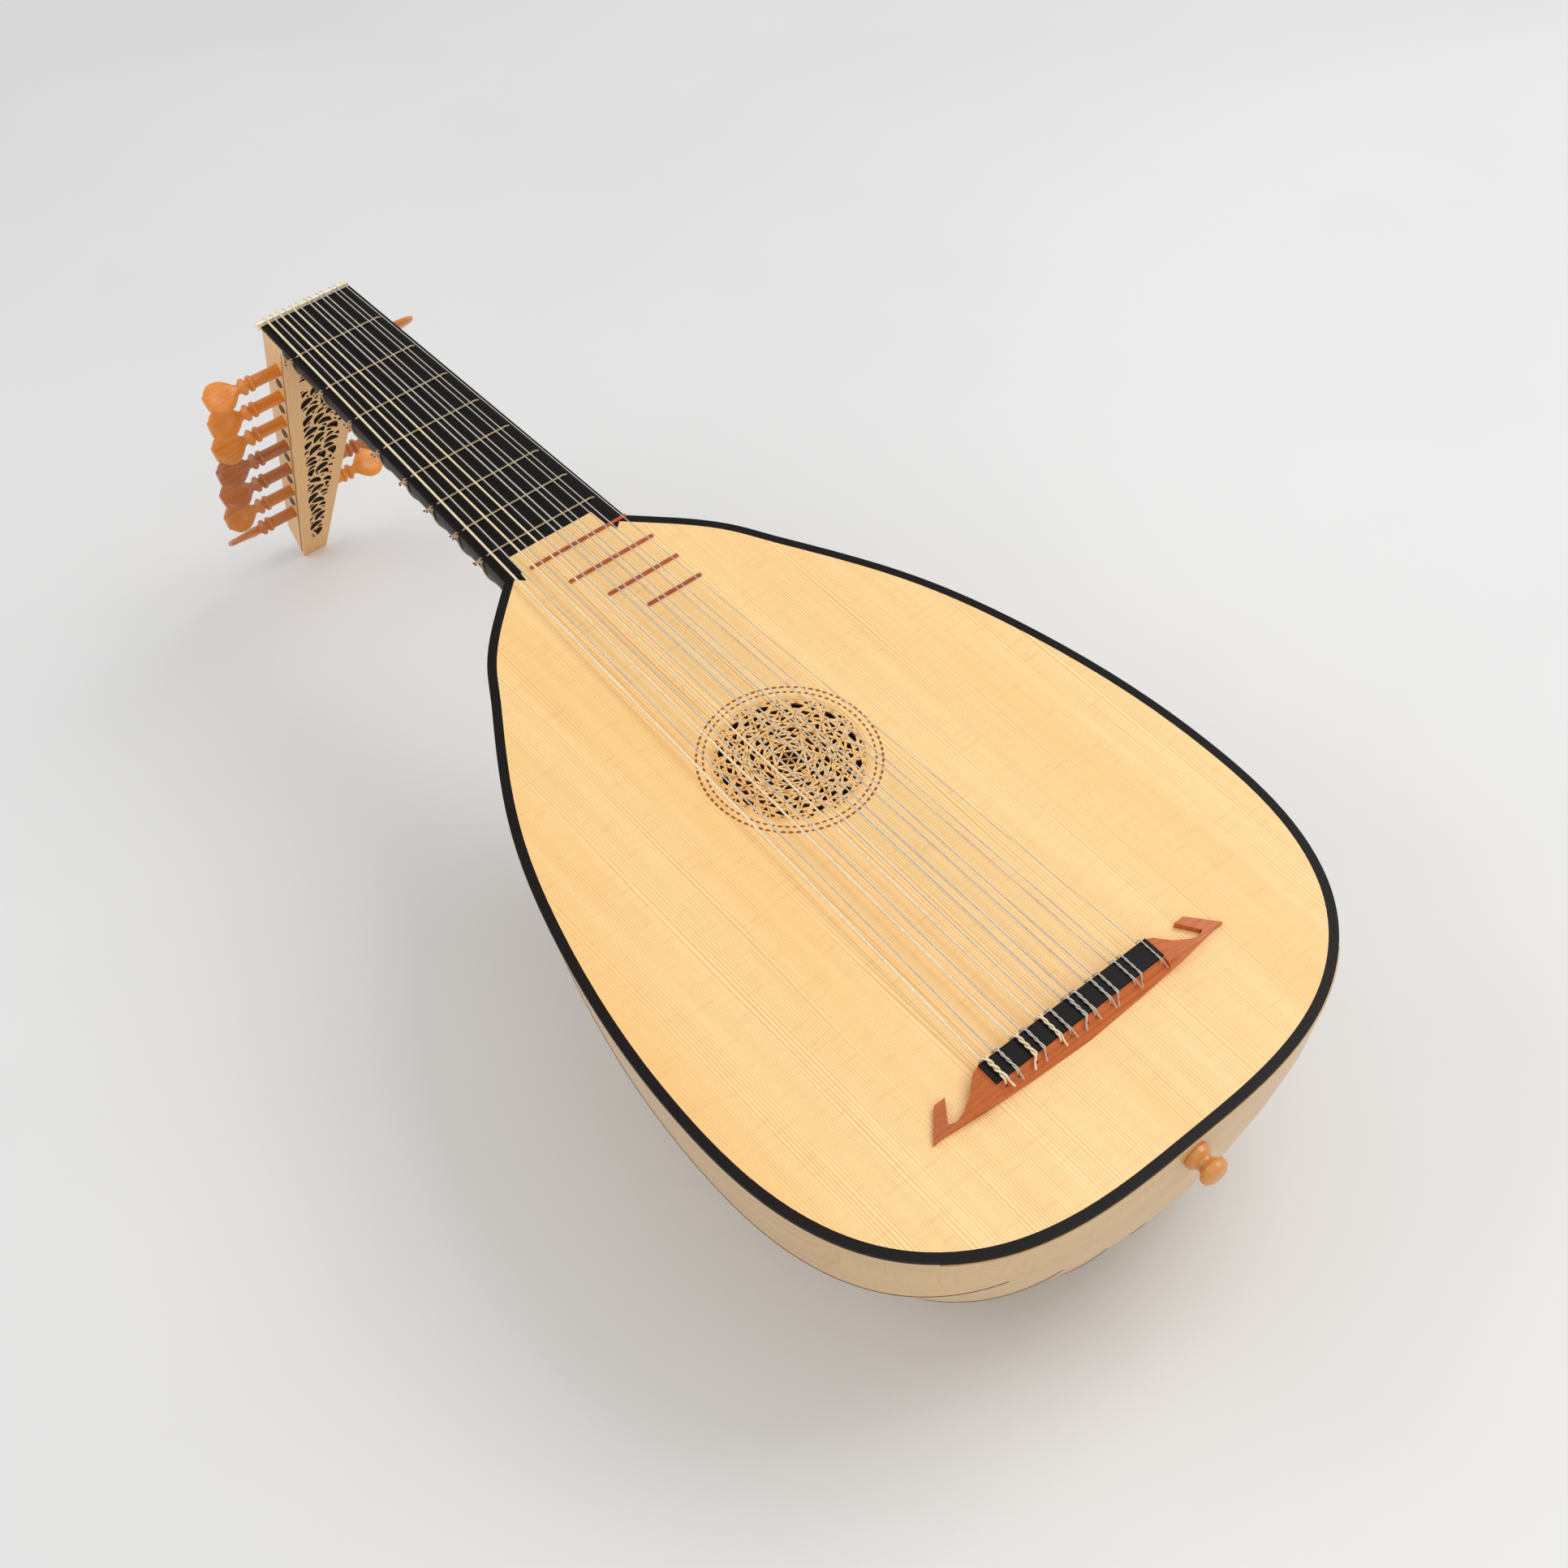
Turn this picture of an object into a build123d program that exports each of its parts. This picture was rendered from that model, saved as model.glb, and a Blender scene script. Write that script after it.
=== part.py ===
from build123d import *
import math
import os

# A seven-course lute.  It is drawn in the maker's frame (x to the treble side, y from the bridge
# to the nut, z out of the soundboard, zero on the front edge of the bridge) and is then laid on
# its back: the flat of the middle rib and the end of the pegbox both touch the floor.

os.makedirs("parts", exist_ok=True)

# ---------------------------------------------------------------- main sizes (mm)
string_length = 600.0          # front edge of the bridge to the nut
neck_length = 242.5            # nut to the end of the body
tail_overhang = 77.0           # bridge line to the outside of the tail
body_width = 316.0
bowl_depth = 145.0             # underside of the soundboard to the flat of the middle rib
top_thickness = 1.8            # soundboard and fingerboard
rib_count = 9
rib_thickness = 1.6
clasp_thickness = 0.8
clasp_drop = 58.0              # how far the end clasp reaches down the tail
clasp_half = 118.0
spot_radius = 16.0             # where the rib tips stop, under the clasp
edging_width = 4.6
edging_depth = 0.9
rose_y = 182.0
bar_places = (318.0, 275.0, 236.0, 128.0, 84.0, 38.0)
bar_thickness = 4.0
bar_height = 13.0
# ---------------------------------------------------------------- neck
neck_half_nut = 28.3
neck_half_joint = 37.2
neck_depth_nut = 22.0
tongue_half = 25.4             # soundboard tongue that reaches up between the fingerboard points
tongue_reach = 12.5
point_half = 28.0
point_reach = 6.0
nut_thickness = 3.2
nut_height = 2.4               # above the fingerboard
nut_overhang = 1.9
fret_gut = 1.0
body_fret_width = 1.8
body_fret_height = 0.9
# ---------------------------------------------------------------- pegbox
pegbox_lean = 19.0             # degrees past square to the neck
pegbox_length = 248.0
pegbox_half_tip = 8.4
pegbox_depth_root = 20.9
pegbox_depth_tip = 17.6
pegbox_bevel = 15.5            # how much shorter the open side is
cheek_thickness = 4.0
panel_thickness = 2.4
peg_count = 13
peg_first = 23.6
peg_pitch = 14.375             # from one peg to the next, on alternate sides
peg_back = 7.6                 # peg axes in front of the panel's carved face
peg_radius_head = 3.6
peg_radius_end = 3.0
peg_clearance = 0.05
peg_reach_bass = 46.0          # wall to the end of the head
peg_reach_treble = 37.5
peg_head_width = 19.0
peg_head_thickness = 6.4
peg_end_out = 0.8
peg_facing = 46.0              # how far a head's broad face leans from the soundboard to the tail
peg_turns = (-12, 84, 10, 30, -6, -25, 14, 48, -16, -20, 6, -8, 88)
# ---------------------------------------------------------------- bridge and strings
bridge_half_block = 49.3
bridge_half_tip = 85.6
bridge_front = 2.5
cap_depth = 11.5
cap_thickness = 1.3
bridge_height = 8.6            # top of the cap
string_hole_height = 5.0
button_drop = 9.8              # button axis under the soundboard's underside
button_radius = 7.0
button_length = 14.5
tenon_radius = 4.0
course_at_bridge = (-42.0, -25.4, -10.9, 4.0, 18.0, 32.4, 46.6)
course_at_nut = (-22.1, -13.9, -5.6, 3.4, 11.1, 19.4, 25.2)
pair_at_bridge = (6.8, 5.2, 5.6, 4.6, 4.7, 4.4, 0.0)
pair_at_nut = (4.2, 3.9, 3.8, 3.1, 2.9, 2.7, 0.0)
thick_gut = (0.66, 0.60, 0.54, 0.46, 0.38, 0.31, 0.25)
thin_gut = (0.42, 0.40, 0.38, 0.42, 0.36, 0.30, 0.25)

# ---------------------------------------------------------------- derived sizes
half_width = body_width / 2
joint_y = string_length - neck_length
tail_y = -tail_overhang
body_length = joint_y - tail_y
underside = -top_thickness
rib_angle = math.pi / rib_count
bowl_flat = bowl_depth / (half_width * math.cos(rib_angle / 2))
lean = math.radians(pegbox_lean)
down = (math.sin(lean), -math.cos(lean))
front = (math.cos(lean), math.sin(lean))

# half outline of the body: fraction of the half width, fraction of the length from the tail
outline = (
    (0.0, 0.0), (0.300, 0.003), (0.601, 0.029), (0.845, 0.098), (0.950, 0.173),
    (0.999, 0.320), (0.981, 0.425), (0.898, 0.583), (0.744, 0.738), (0.521, 0.881),
)


def body_curve():
    points = [(a * half_width, tail_y + b * body_length) for a, b in outline]
    points.append((neck_half_joint, joint_y))
    return Spline(*points, tangents=[(1, 0), (-1, 0.92)])


curve = body_curve()


def half_outline(inset, stretch=1.0, start=0.0, stop=1.0, steps=30):
    """Points (out, y) of the half outline, stretched sideways and moved inwards by inset."""
    points = []
    for i in range(steps + 1):
        t = start + (stop - start) * i / steps
        p = curve @ t
        d = curve % t
        size = math.hypot(stretch * d.X, d.Y)
        tx = stretch * d.X / size
        ty = d.Y / size
        points.append((stretch * p.X - inset * ty, p.Y + inset * tx))
    if stop == 1.0 and inset > 0:
        x, y = points[-1]
        reach = (joint_y - y) / ty
        points[-1] = (x + reach * tx, joint_y)
    return points


def place_at(out, stop=0.45):
    """Parameter of the point where the outline first reaches the distance out from the middle."""
    low = 0.0
    high = stop
    for i in range(40):
        middle = (low + high) / 2
        if (curve @ middle).X < out:
            low = middle
        else:
            high = middle
    return low


def width_at(y, inset, stretch=1.0):
    """Distance from the middle to the outline at y, on the neck side of the widest place."""
    points = half_outline(inset, stretch, 0.3, 1.0, 60)
    for (x1, y1), (x2, y2) in zip(points, points[1:]):
        if y1 <= y <= y2:
            return x1 + (x2 - x1) * (y - y1) / (y2 - y1)
    return points[-1][0]


def prism(points, z_low, z_high):
    return extrude(Plane.XY.offset(z_low) * make_face(Polyline(*points, close=True)), z_high - z_low)


def outline_plate(inset, z_low, z_high):
    right = half_outline(inset)
    left = [(-x, y) for x, y in reversed(right)]
    edges = Spline(*right) + Line(right[-1], left[0]) + Spline(*left)
    return extrude(Plane.XY.offset(z_low) * make_face(edges), z_high - z_low)


# ---------------------------------------------------------------- bowl
def rib_plane_stretch(angle):
    return math.hypot(math.cos(angle), bowl_flat * math.sin(angle))


def on_rib_plane(out, y, angle):
    k = rib_plane_stretch(angle)
    return Vector(out * math.cos(angle) / k, y, underside - out * bowl_flat * math.sin(angle) / k)


def strip(angle, inset_out, inset_in, start, stop, steps):
    """Thin curved face in the plane of one rib joint, between two insets of the outline."""
    k = rib_plane_stretch(angle)
    outer = [on_rib_plane(x, y, angle) for x, y in half_outline(inset_out, k, start, stop, steps)]
    inner = [on_rib_plane(x, y, angle) for x, y in half_outline(inset_in, k, start, stop, steps)]
    edges = [
        Edge.make_spline(outer),
        Edge.make_line(outer[-1], inner[-1]),
        Edge.make_spline(list(reversed(inner))),
        Edge.make_line(inner[0], outer[0]),
    ]
    return Face(Wire(edges))


def between(face_a, face_b):
    return Solid.make_loft([face_a.outer_wire(), face_b.outer_wire()], ruled=True)


def button_tenon(extra=0.0):
    """Round tenon of the strap button, along y, through the clasp and into the tail block."""
    centre = Plane(origin=(0, tail_y - clasp_thickness, underside - button_drop), z_dir=(0, 1, 0))
    return extrude(centre * Circle(tenon_radius + extra), 16.0 + extra)


def make_ribs():
    start = place_at(spot_radius)
    strips = [strip(i * rib_angle, 0, rib_thickness, start, 1.0, 30) for i in range(rib_count + 1)]
    return [between(strips[i], strips[i + 1]) for i in range(rib_count)]


def clasp_outline():
    """Outline of the clasp seen from the tail: full at the middle, running out along the edge."""
    a = clasp_half
    d = clasp_drop
    lower = Spline(
        (-a, 0), (-0.74 * a, -0.53 * d), (-0.51 * a, -0.80 * d), (0, -d),
        (0.51 * a, -0.80 * d), (0.74 * a, -0.53 * d), (a, 0),
    )
    return make_face(lower + Line((a, 0), (-a, 0)))


def make_clasp():
    start = place_at(spot_radius)
    stop = place_at(clasp_half + 8)
    strips = []
    for i in range(rib_count + 1):
        strips.append(strip(i * rib_angle, -clasp_thickness, -0.04, start, stop, 20))
    clasp = between(strips[0], strips[1])
    for i in range(1, rib_count):
        clasp += between(strips[i], strips[i + 1])
    trim = Plane(origin=(0, tail_y + 80, underside), x_dir=(1, 0, 0), z_dir=(0, -1, 0))
    clasp = extrude(trim * clasp_outline(), 100) & clasp
    edge = (curve @ start).Y
    disc = Cylinder(spot_radius, clasp_thickness - 0.04, rotation=(90, 0, 0))
    disc = Pos(0, edge - (clasp_thickness + 0.04) / 2, underside) * disc
    disc -= Pos(0, edge, underside + 25) * Box(60, 20, 50)
    return clasp + disc - button_tenon()


def make_tail_block():
    half = 26.0
    height = 30.0
    inside = (curve @ place_at(math.hypot(half, height) + 1)).Y + rib_thickness + 0.1
    block = Pos(0, inside + 5, underside - height / 2) * Box(2 * half, 10, height)
    edge = (curve @ place_at(spot_radius)).Y
    plug = Cylinder(0.88 * spot_radius, inside - edge + 1, rotation=(90, 0, 0))
    plug = Pos(0, (inside + edge + 1) / 2 + 0.05, underside) * plug
    plug -= Pos(0, inside, underside + 25) * Box(60, 40, 50)
    return block + plug - button_tenon()


def make_neck_block():
    faces = []
    for y in (joint_y - 34, joint_y):
        corners = []
        for i in range(rib_count + 1):
            angle = i * rib_angle
            out = width_at(y, rib_thickness + 0.1, rib_plane_stretch(angle))
            corners.append(on_rib_plane(out, y, angle))
        faces.append(Face(Wire.make_polygon(corners, close=True)))
    return between(faces[0], faces[1])


def make_bars():
    bars = Part()
    for y in bar_places:
        half = 0.955 * width_at(y, rib_thickness) if y > 60 else 0.955 * (half_width - rib_thickness)
        lower = half - 0.9 * bar_height
        section = Polyline(
            (-half, 0), (half, 0), (half, -0.25 * bar_height), (lower, -bar_height),
            (-lower, -bar_height), (-half, -0.25 * bar_height), close=True,
        )
        plane = Plane(origin=(0, y + bar_thickness / 2, underside), x_dir=(1, 0, 0), z_dir=(0, -1, 0))
        bars += extrude(plane * make_face(section), bar_thickness)
    return bars


# ---------------------------------------------------------------- soundboard and fingerboard
def neck_half(y):
    return neck_half_joint + (neck_half_nut - neck_half_joint) * (y - joint_y) / neck_length


def make_fingerboard():
    side = neck_half_joint
    tip = joint_y - point_reach
    top = joint_y + tongue_reach
    right = [(neck_half_nut, string_length), (side, joint_y)]
    notch = [(side - 4.6, joint_y - 1.9), (point_half, tip), (tongue_half, top)]
    right += notch
    left = [(-x, y) for x, y in reversed(right)]
    return prism(right + left, underside, 0)


def rose_cutter():
    """Openings of the rose: rings of small shapes around one centre."""
    cutter = Part()
    rings = (
        (1, 0.0, 2.6, 6), (6, 7.4, 2.5, 3), (6, 13.2, 2.2, 4), (12, 19.0, 2.4, 4),
        (12, 24.6, 2.3, 3), (12, 29.4, 2.7, 4), (24, 34.4, 1.7, 4),
    )
    for number, (count, radius, size, sides) in enumerate(rings):
        sketch = Sketch()
        turn = 180 / count if number % 2 else 0
        for place in PolarLocations(radius, count, start_angle=turn):
            sketch += place * RegularPolygon(size, sides)
        cutter += extrude(Plane.XY.offset(underside - 1) * Pos(0, rose_y) * sketch, top_thickness + 2)
    return cutter


def make_soundboard(fingerboard):
    lower = outline_plate(edging_depth, underside, -edging_depth)
    upper = outline_plate(edging_width, -edging_depth, 0)
    tongue = [
        (-tongue_half - 2, joint_y - 20), (tongue_half + 2, joint_y - 20),
        (tongue_half, joint_y + tongue_reach), (-tongue_half, joint_y + tongue_reach),
    ]
    board = lower + upper + prism(tongue, underside, 0)
    return board - fingerboard - rose_cutter()


def make_edging(side, fingerboard):
    whole = outline_plate(0, underside, 0)
    lower = outline_plate(edging_depth, underside - 1, -edging_depth)
    upper = outline_plate(edging_width, -edging_depth, 1)
    ring = whole - lower - upper - fingerboard
    middle = (joint_y + tail_y) / 2
    half = Pos(side * 250, middle, 0) * Box(500, 2 * body_length, 20)
    beyond = Pos(0, joint_y + 50, 0) * Box(400, 100 + 2 * 0.2, 20)
    return (ring & half) - beyond


# ---------------------------------------------------------------- neck
def neck_face(y, half, depth, grow=0.0, top=0.0):
    """D-shaped section of the neck at y; depth is measured from the fingerboard's underside."""
    plane = Plane(origin=(0, y, 0), x_dir=(1, 0, 0), z_dir=(0, -1, 0))
    wide = half + grow
    arc = EllipticalCenterArc((0, underside), wide, depth + grow, start_angle=180, arc_size=180)
    if top > underside:
        box = Polyline((wide, underside), (wide, top), (-wide, top), (-wide, underside))
        return plane * make_face(arc + box)
    return plane * make_face(arc + Line((wide, underside), (-wide, underside)))


def neck_depth(y):
    deep = bowl_flat * neck_half_joint
    return deep + (neck_depth_nut - top_thickness - deep) * (y - joint_y) / neck_length


def pegbox_point(along, behind):
    """(y, z) of a place in the pegbox: down its open side, then back towards the carved panel."""
    y = string_length - 0.2 + along * down[0] - behind * front[0]
    z = underside + along * down[1] - behind * front[1]
    return y, z


def make_neck():
    faces = []
    for y in (joint_y, string_length):
        faces.append(neck_face(y, neck_half(y), neck_depth(y), top=underside))
    neck = loft(faces, ruled=True)
    cut = [pegbox_point(-40, pegbox_depth(-40)), pegbox_point(90, pegbox_depth(90))]
    cut += [(cut[1][0] + 90, cut[1][1]), (cut[0][0] + 90, cut[0][1])]
    plane = Plane(origin=(60, 0, 0), x_dir=(0, 1, 0), z_dir=(1, 0, 0))
    cutter = extrude(plane * make_face(Polyline(*cut, close=True)), -120)
    return neck - cutter


def fret_places():
    return [string_length * 2 ** (-n / 12) for n in range(1, 9)]


def make_tied_frets():
    frets = Part()
    for y in fret_places():
        near = y - fret_gut / 2
        half = neck_half(near) + 0.05
        depth = neck_depth(near) + 0.05
        inner = neck_face(near, half, depth, 0, 0.03)
        outer = neck_face(near, half, depth, fret_gut, fret_gut)
        frets += extrude(outer, -fret_gut) - extrude(inner, -fret_gut)
    return frets


def make_body_frets():
    frets = Part()
    for number, half in zip(range(9, 13), (29.6, 25.8, 21.5, 16.4)):
        y = string_length * 2 ** (-number / 12)
        shift = 7.9 + (number - 9) * 5.6
        strip_box = Box(2 * half, body_fret_width, body_fret_height)
        frets += Pos(shift, y, body_fret_height / 2) * strip_box
    return frets


# ---------------------------------------------------------------- pegbox
def pegbox_half(along):
    return neck_half_nut + (pegbox_half_tip - neck_half_nut) * along / pegbox_length


def pegbox_depth(along):
    return pegbox_depth_root + (pegbox_depth_tip - pegbox_depth_root) * along / pegbox_length


def section(along, x1, x2, behind1, behind2):
    corners = []
    for x, behind in ((x1, behind1), (x2, behind1), (x2, behind2), (x1, behind2)):
        y, z = pegbox_point(along, behind)
        corners.append((x, y, z))
    return Face(Wire.make_polygon([Vector(*c) for c in corners], close=True))


def above_neck():
    """Everything over the fingerboard's underside, and everything past the bevelled end."""
    over = Pos(0, string_length, underside + 30) * Box(200, 200, 60)
    end = [
        pegbox_point(pegbox_length - pegbox_bevel, -6),
        pegbox_point(pegbox_length - pegbox_bevel, 0),
        pegbox_point(pegbox_length, pegbox_depth_tip),
        pegbox_point(pegbox_length, pegbox_depth_tip + 6),
        pegbox_point(pegbox_length + 60, pegbox_depth_tip + 6),
        pegbox_point(pegbox_length + 60, -6),
    ]
    plane = Plane(origin=(60, 0, 0), x_dir=(0, 1, 0), z_dir=(1, 0, 0))
    return over + extrude(plane * make_face(Polyline(*end, close=True)), -120)


def peg_axis(number):
    """(y, z) of a peg's axis."""
    along = peg_along(number)
    return pegbox_point(along, pegbox_depth(along) - peg_back)


def peg_along(number):
    return peg_first + number * peg_pitch


def peg_side(number):
    return -1 if number % 2 == 0 else 1


def make_cheek(side):
    first = -12.0
    last = pegbox_length + 2
    faces = []
    for along in (first, last):
        half = pegbox_half(along)
        inside = half - cheek_thickness
        back = pegbox_depth(along) - panel_thickness
        faces.append(section(along, side * inside, side * half, 0, back))
    cheek = between(faces[0], faces[1]) - above_neck()
    for number in range(peg_count):
        y, z = peg_axis(number)
        radius = peg_radius_head if peg_side(number) == side else peg_radius_end
        plane = Plane(origin=(0, y, z), z_dir=(side, 0, 0))
        cheek -= extrude(plane * Circle(radius + peg_clearance), 60)
    return cheek


def make_panel():
    first = -12.0
    last = pegbox_length + 2
    faces = []
    for along in (first, last):
        half = pegbox_half(along)
        back = pegbox_depth(along)
        faces.append(section(along, -half, half, back - panel_thickness, back))
    panel = between(faces[0], faces[1]) - above_neck()
    row = 62.0
    while row < pegbox_length - 26:
        margin = 8.0 - 3.0 * row / pegbox_length
        half = pegbox_half(row) - margin
        count = 4 if half > 12 else (3 if half > 7.5 else (2 if half > 4 else 1))
        for i in range(count):
            x = half * (2 * (i + 0.5) / count - 1)
            turn = 32 if (i + int(row)) % 2 else -32
            panel -= panel_cutter(x, row, 0.72 * half / count, 3.1, turn)
        row += 8.2
    for x in (-12.5, -4.5, 4.5, 12.5):
        panel -= panel_cutter(x, 39.0, 2.6, 4.0, 12)
    return panel


def panel_cutter(x, along, half_wide, half_high, turn):
    """Leaf-shaped opening through the carved panel."""
    y, z = pegbox_point(along, pegbox_depth(along) + 3)
    plane = Plane(origin=(x, y, z), x_dir=(1, 0, 0), z_dir=(0, front[0], front[1]))
    return extrude(plane * Rot(0, 0, turn) * Ellipse(half_wide, half_high), 9)


def make_root(cheeks, panel):
    """Block under the nut that joins the cheeks to the neck; its open side slopes back."""
    low = peg_first - peg_radius_head - 5
    corners = [
        pegbox_point(-10, pegbox_depth(-10)),
        (string_length + nut_thickness, underside + 3),
        (string_length + nut_thickness, underside),
        pegbox_point(low, pegbox_depth(low) - panel_thickness),
        pegbox_point(low, pegbox_depth(low)),
    ]
    plane = Plane(origin=(neck_half_nut, 0, 0), x_dir=(0, 1, 0), z_dir=(1, 0, 0))
    root = extrude(plane * make_face(Polyline(*corners, close=True)), -2 * neck_half_nut)
    nose = Pos(0, string_length, 0) * Box(2 * (neck_half_nut - cheek_thickness) - 0.2, 400, 400)
    under = Pos(0, string_length, underside - 100) * Box(200, 200, 200)
    return (root & nose & under) - cheeks[0] - cheeks[1] - panel


def make_pegbox_end():
    along = pegbox_length - 28
    faces = []
    for place in (along, pegbox_length + 2):
        half = pegbox_half(place) - cheek_thickness
        back = pegbox_depth(place) - panel_thickness
        faces.append(section(place, -half, half, 0, back))
    return between(faces[0], faces[1]) - above_neck()


# ---------------------------------------------------------------- pegs
def make_peg(number):
    """Friction peg: round shank through both cheeks, turned collars and a flat paddle head."""
    side = peg_side(number)
    along = peg_along(number)
    y, z = peg_axis(number)
    wall = pegbox_half(along)
    inner = wall - cheek_thickness
    end = -wall - peg_end_out
    r1 = peg_radius_head
    r2 = peg_radius_end
    tip = wall + (peg_reach_bass if side < 0 else peg_reach_treble)
    head_start = tip - peg_head_width
    profile = [
        (end, 0), (end, r2 - 0.4), (end + 0.4, r2), (-inner + 0.5, r2), (inner - 0.5, r1),
        (head_start - 10.5, r1), (head_start - 10, r1 + 1.0), (head_start - 8, r1 + 1.0),
        (head_start - 7.5, r1 - 0.4), (head_start - 6, r1 - 0.4), (head_start - 5.4, r1 + 1.2),
        (head_start - 3.4, r1 + 1.2), (head_start - 2.8, r1), (head_start + 4, r1 - 0.9),
        (head_start + 4, 0),
    ]
    shank = revolve(make_face(Polyline(*profile, close=True)), Axis.X)
    w = peg_head_width / 2
    cut = 0.42 * w
    paddle_points = [
        (head_start - 1.5, r1 - 0.6), (head_start + cut, w), (tip - cut, w),
        (tip, w - cut), (tip, cut - w), (tip - cut, -w),
        (head_start + cut, -w), (head_start - 1.5, 0.6 - r1),
    ]
    paddle = extrude(make_face(Polyline(*paddle_points, close=True)), peg_head_thickness / 2, both=True)
    paddle = fillet(paddle.edges().filter_by(Axis.Z, reverse=True), 1.4)
    peg = shank + paddle
    if side < 0:
        peg = Rot(0, 0, 180) * peg
    return Pos(0, y, z) * Rot(peg_facing + peg_turns[number % len(peg_turns)], 0, 0) * peg


# ---------------------------------------------------------------- bridge
def make_bridge(holes):
    b = bridge_half_block
    t = bridge_half_tip
    f = bridge_front
    rear = f - cap_depth
    body_top = bridge_height - cap_thickness
    front_right = [(b, f), (b + 4, f - 1.2), (b + 10.5, f - 7.0), (b + 17.5, f - 10.8)]
    front_right += [(b + 22.5, f - 12.2), (b + 26, f - 10.8)]
    hook = [(t - 17.6, f - 0.7), (t - 11.8, f - 0.5), (t, f - 13.4)]
    rear_right = [(t - 5, f - 13.2), (57.0, f - 15.7), (32.0, f - 17.2)]
    right = front_right + hook + rear_right
    left = [(-x, y) for x, y in reversed(right)]
    foot = prism(right + [(0, f - 18.5)] + left, 0, bridge_height)
    across = [
        (f + 1, -0.5), (f + 1, 0), (f, body_top), (rear, body_top), (rear - 6.6, 0.8), (rear - 7.5, -0.5),
    ]
    plane = Plane(origin=(-b, 0, 0), x_dir=(0, 1, 0), z_dir=(1, 0, 0))
    block = extrude(plane * make_face(Polyline(*across, close=True)), 2 * b)
    along_right = [(b - 0.01, -0.5), (b - 0.01, body_top), (b + 9, 5.2), (b + 20, 3.2), (t, 2.2), (t, -0.5)]
    side_plane = Plane(origin=(0, 30, 0), x_dir=(1, 0, 0), z_dir=(0, -1, 0))
    wing = extrude(side_plane * make_face(Polyline(*along_right, close=True)), 60)
    wings = wing + mirror(wing, Plane.YZ)
    slope = [(rear - 9.5, 0.6), (rear + 0.5, bridge_height + 1.6), (-60, bridge_height + 1.6), (-60, 0.6)]
    slope_plane = Plane(origin=(-t - 5, 0, 0), x_dir=(0, 1, 0), z_dir=(1, 0, 0))
    shave = extrude(slope_plane * make_face(Polyline(*slope, close=True)), 2 * t + 10)
    bridge = (foot & (block + wings)) - shave
    for hole in holes:
        bridge -= hole
    return bridge


def make_cap():
    cap = Box(2 * bridge_half_block, cap_depth, cap_thickness)
    cap = fillet(cap.edges().filter_by(Axis.X).group_by(Axis.Z)[-1], 0.5)
    middle = bridge_front - cap_depth / 2
    return Pos(0, middle, bridge_height - cap_thickness / 2) * cap


# ---------------------------------------------------------------- strings
def string_table():
    """(x at bridge, x at nut, radius) of every string from the bass side."""
    rows = []
    for i in range(7):
        a = course_at_bridge[i]
        c = course_at_nut[i]
        if i == 6:
            rows.append((a, c, thick_gut[i]))
            continue
        rows.append((a - pair_at_bridge[i] / 2, c - pair_at_nut[i] / 2, thick_gut[i]))
        rows.append((a + pair_at_bridge[i] / 2, c + pair_at_nut[i] / 2, thin_gut[i]))
    return rows


def peg_order():
    """The strings that start farthest from the middle take the pegs nearest the nut."""
    rows = string_table()
    order = sorted(range(peg_count), key=lambda i: -abs(rows[i][1]))
    return {string: peg for peg, string in enumerate(order)}


def string_points(index):
    x_bridge, x_nut, radius = string_table()[index]
    number = peg_order()[index]
    along = peg_along(number)
    behind = pegbox_depth(along) - peg_back - peg_radius_head - 0.35 - radius
    y_peg, z_peg = pegbox_point(along, behind)
    x_peg = 0.72 * x_nut
    return [
        Vector(x_bridge, bridge_front - cap_depth - 3.5, string_hole_height),
        Vector(x_bridge, bridge_front + 1.5, string_hole_height),
        Vector(x_nut, string_length, nut_height - radius * 0.3),
        Vector(x_nut * 0.995, string_length + nut_thickness + radius + 0.6, nut_height - 1.3),
        Vector(x_peg, y_peg, z_peg),
    ]


def rod(start, end, radius):
    plane = Plane(origin=start, z_dir=end - start)
    return extrude(plane * Circle(radius), (end - start).length)


def make_string(index, grow=0.0):
    points = string_points(index)
    radius = string_table()[index][2] + grow
    plane = Plane(origin=points[0], z_dir=points[1] - points[0])
    return sweep(plane * Circle(radius), path=FilletPolyline(*points, radius=2.5 * radius))


def make_nut():
    width = 2 * neck_half_nut + nut_overhang - 0.4
    corners = [
        (string_length, underside), (string_length, nut_height), (string_length + 0.8, nut_height + 0.2),
        (string_length + nut_thickness, nut_height - 0.9), (string_length + nut_thickness, underside),
    ]
    start = -neck_half_nut - nut_overhang
    plane = Plane(origin=(start, 0, 0), x_dir=(0, 1, 0), z_dir=(1, 0, 0))
    nut = extrude(plane * make_face(Polyline(*corners, close=True)), width)
    for index in range(peg_count):
        a, b = string_points(index)[2:4]
        reach = (b - a).normalized()
        nut -= rod(a - reach * 3, b + reach * 3, string_table()[index][2] + 0.08)
    return nut


# ---------------------------------------------------------------- strap button
def make_button():
    r = button_radius
    n = button_length
    profile = [
        (0, -15.9), (tenon_radius, -15.9), (tenon_radius, 0), (0.9 * r, 0), (0.96 * r, 1.0),
        (0.92 * r, 3.2), (0.62 * r, 5.0), (0.58 * r, 6.4), (0.72 * r, 7.8), (0.96 * r, 9.2),
        (r, 10.6), (0.94 * r, 12.4), (0.62 * r, n - 0.5), (0, n),
    ]
    turned = revolve(make_face(Polyline(*profile, close=True)), Axis.Y)
    place = Plane(origin=(0, tail_y - clasp_thickness, underside - button_drop))
    return place * Rot(180, 0, 0) * turned


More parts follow.
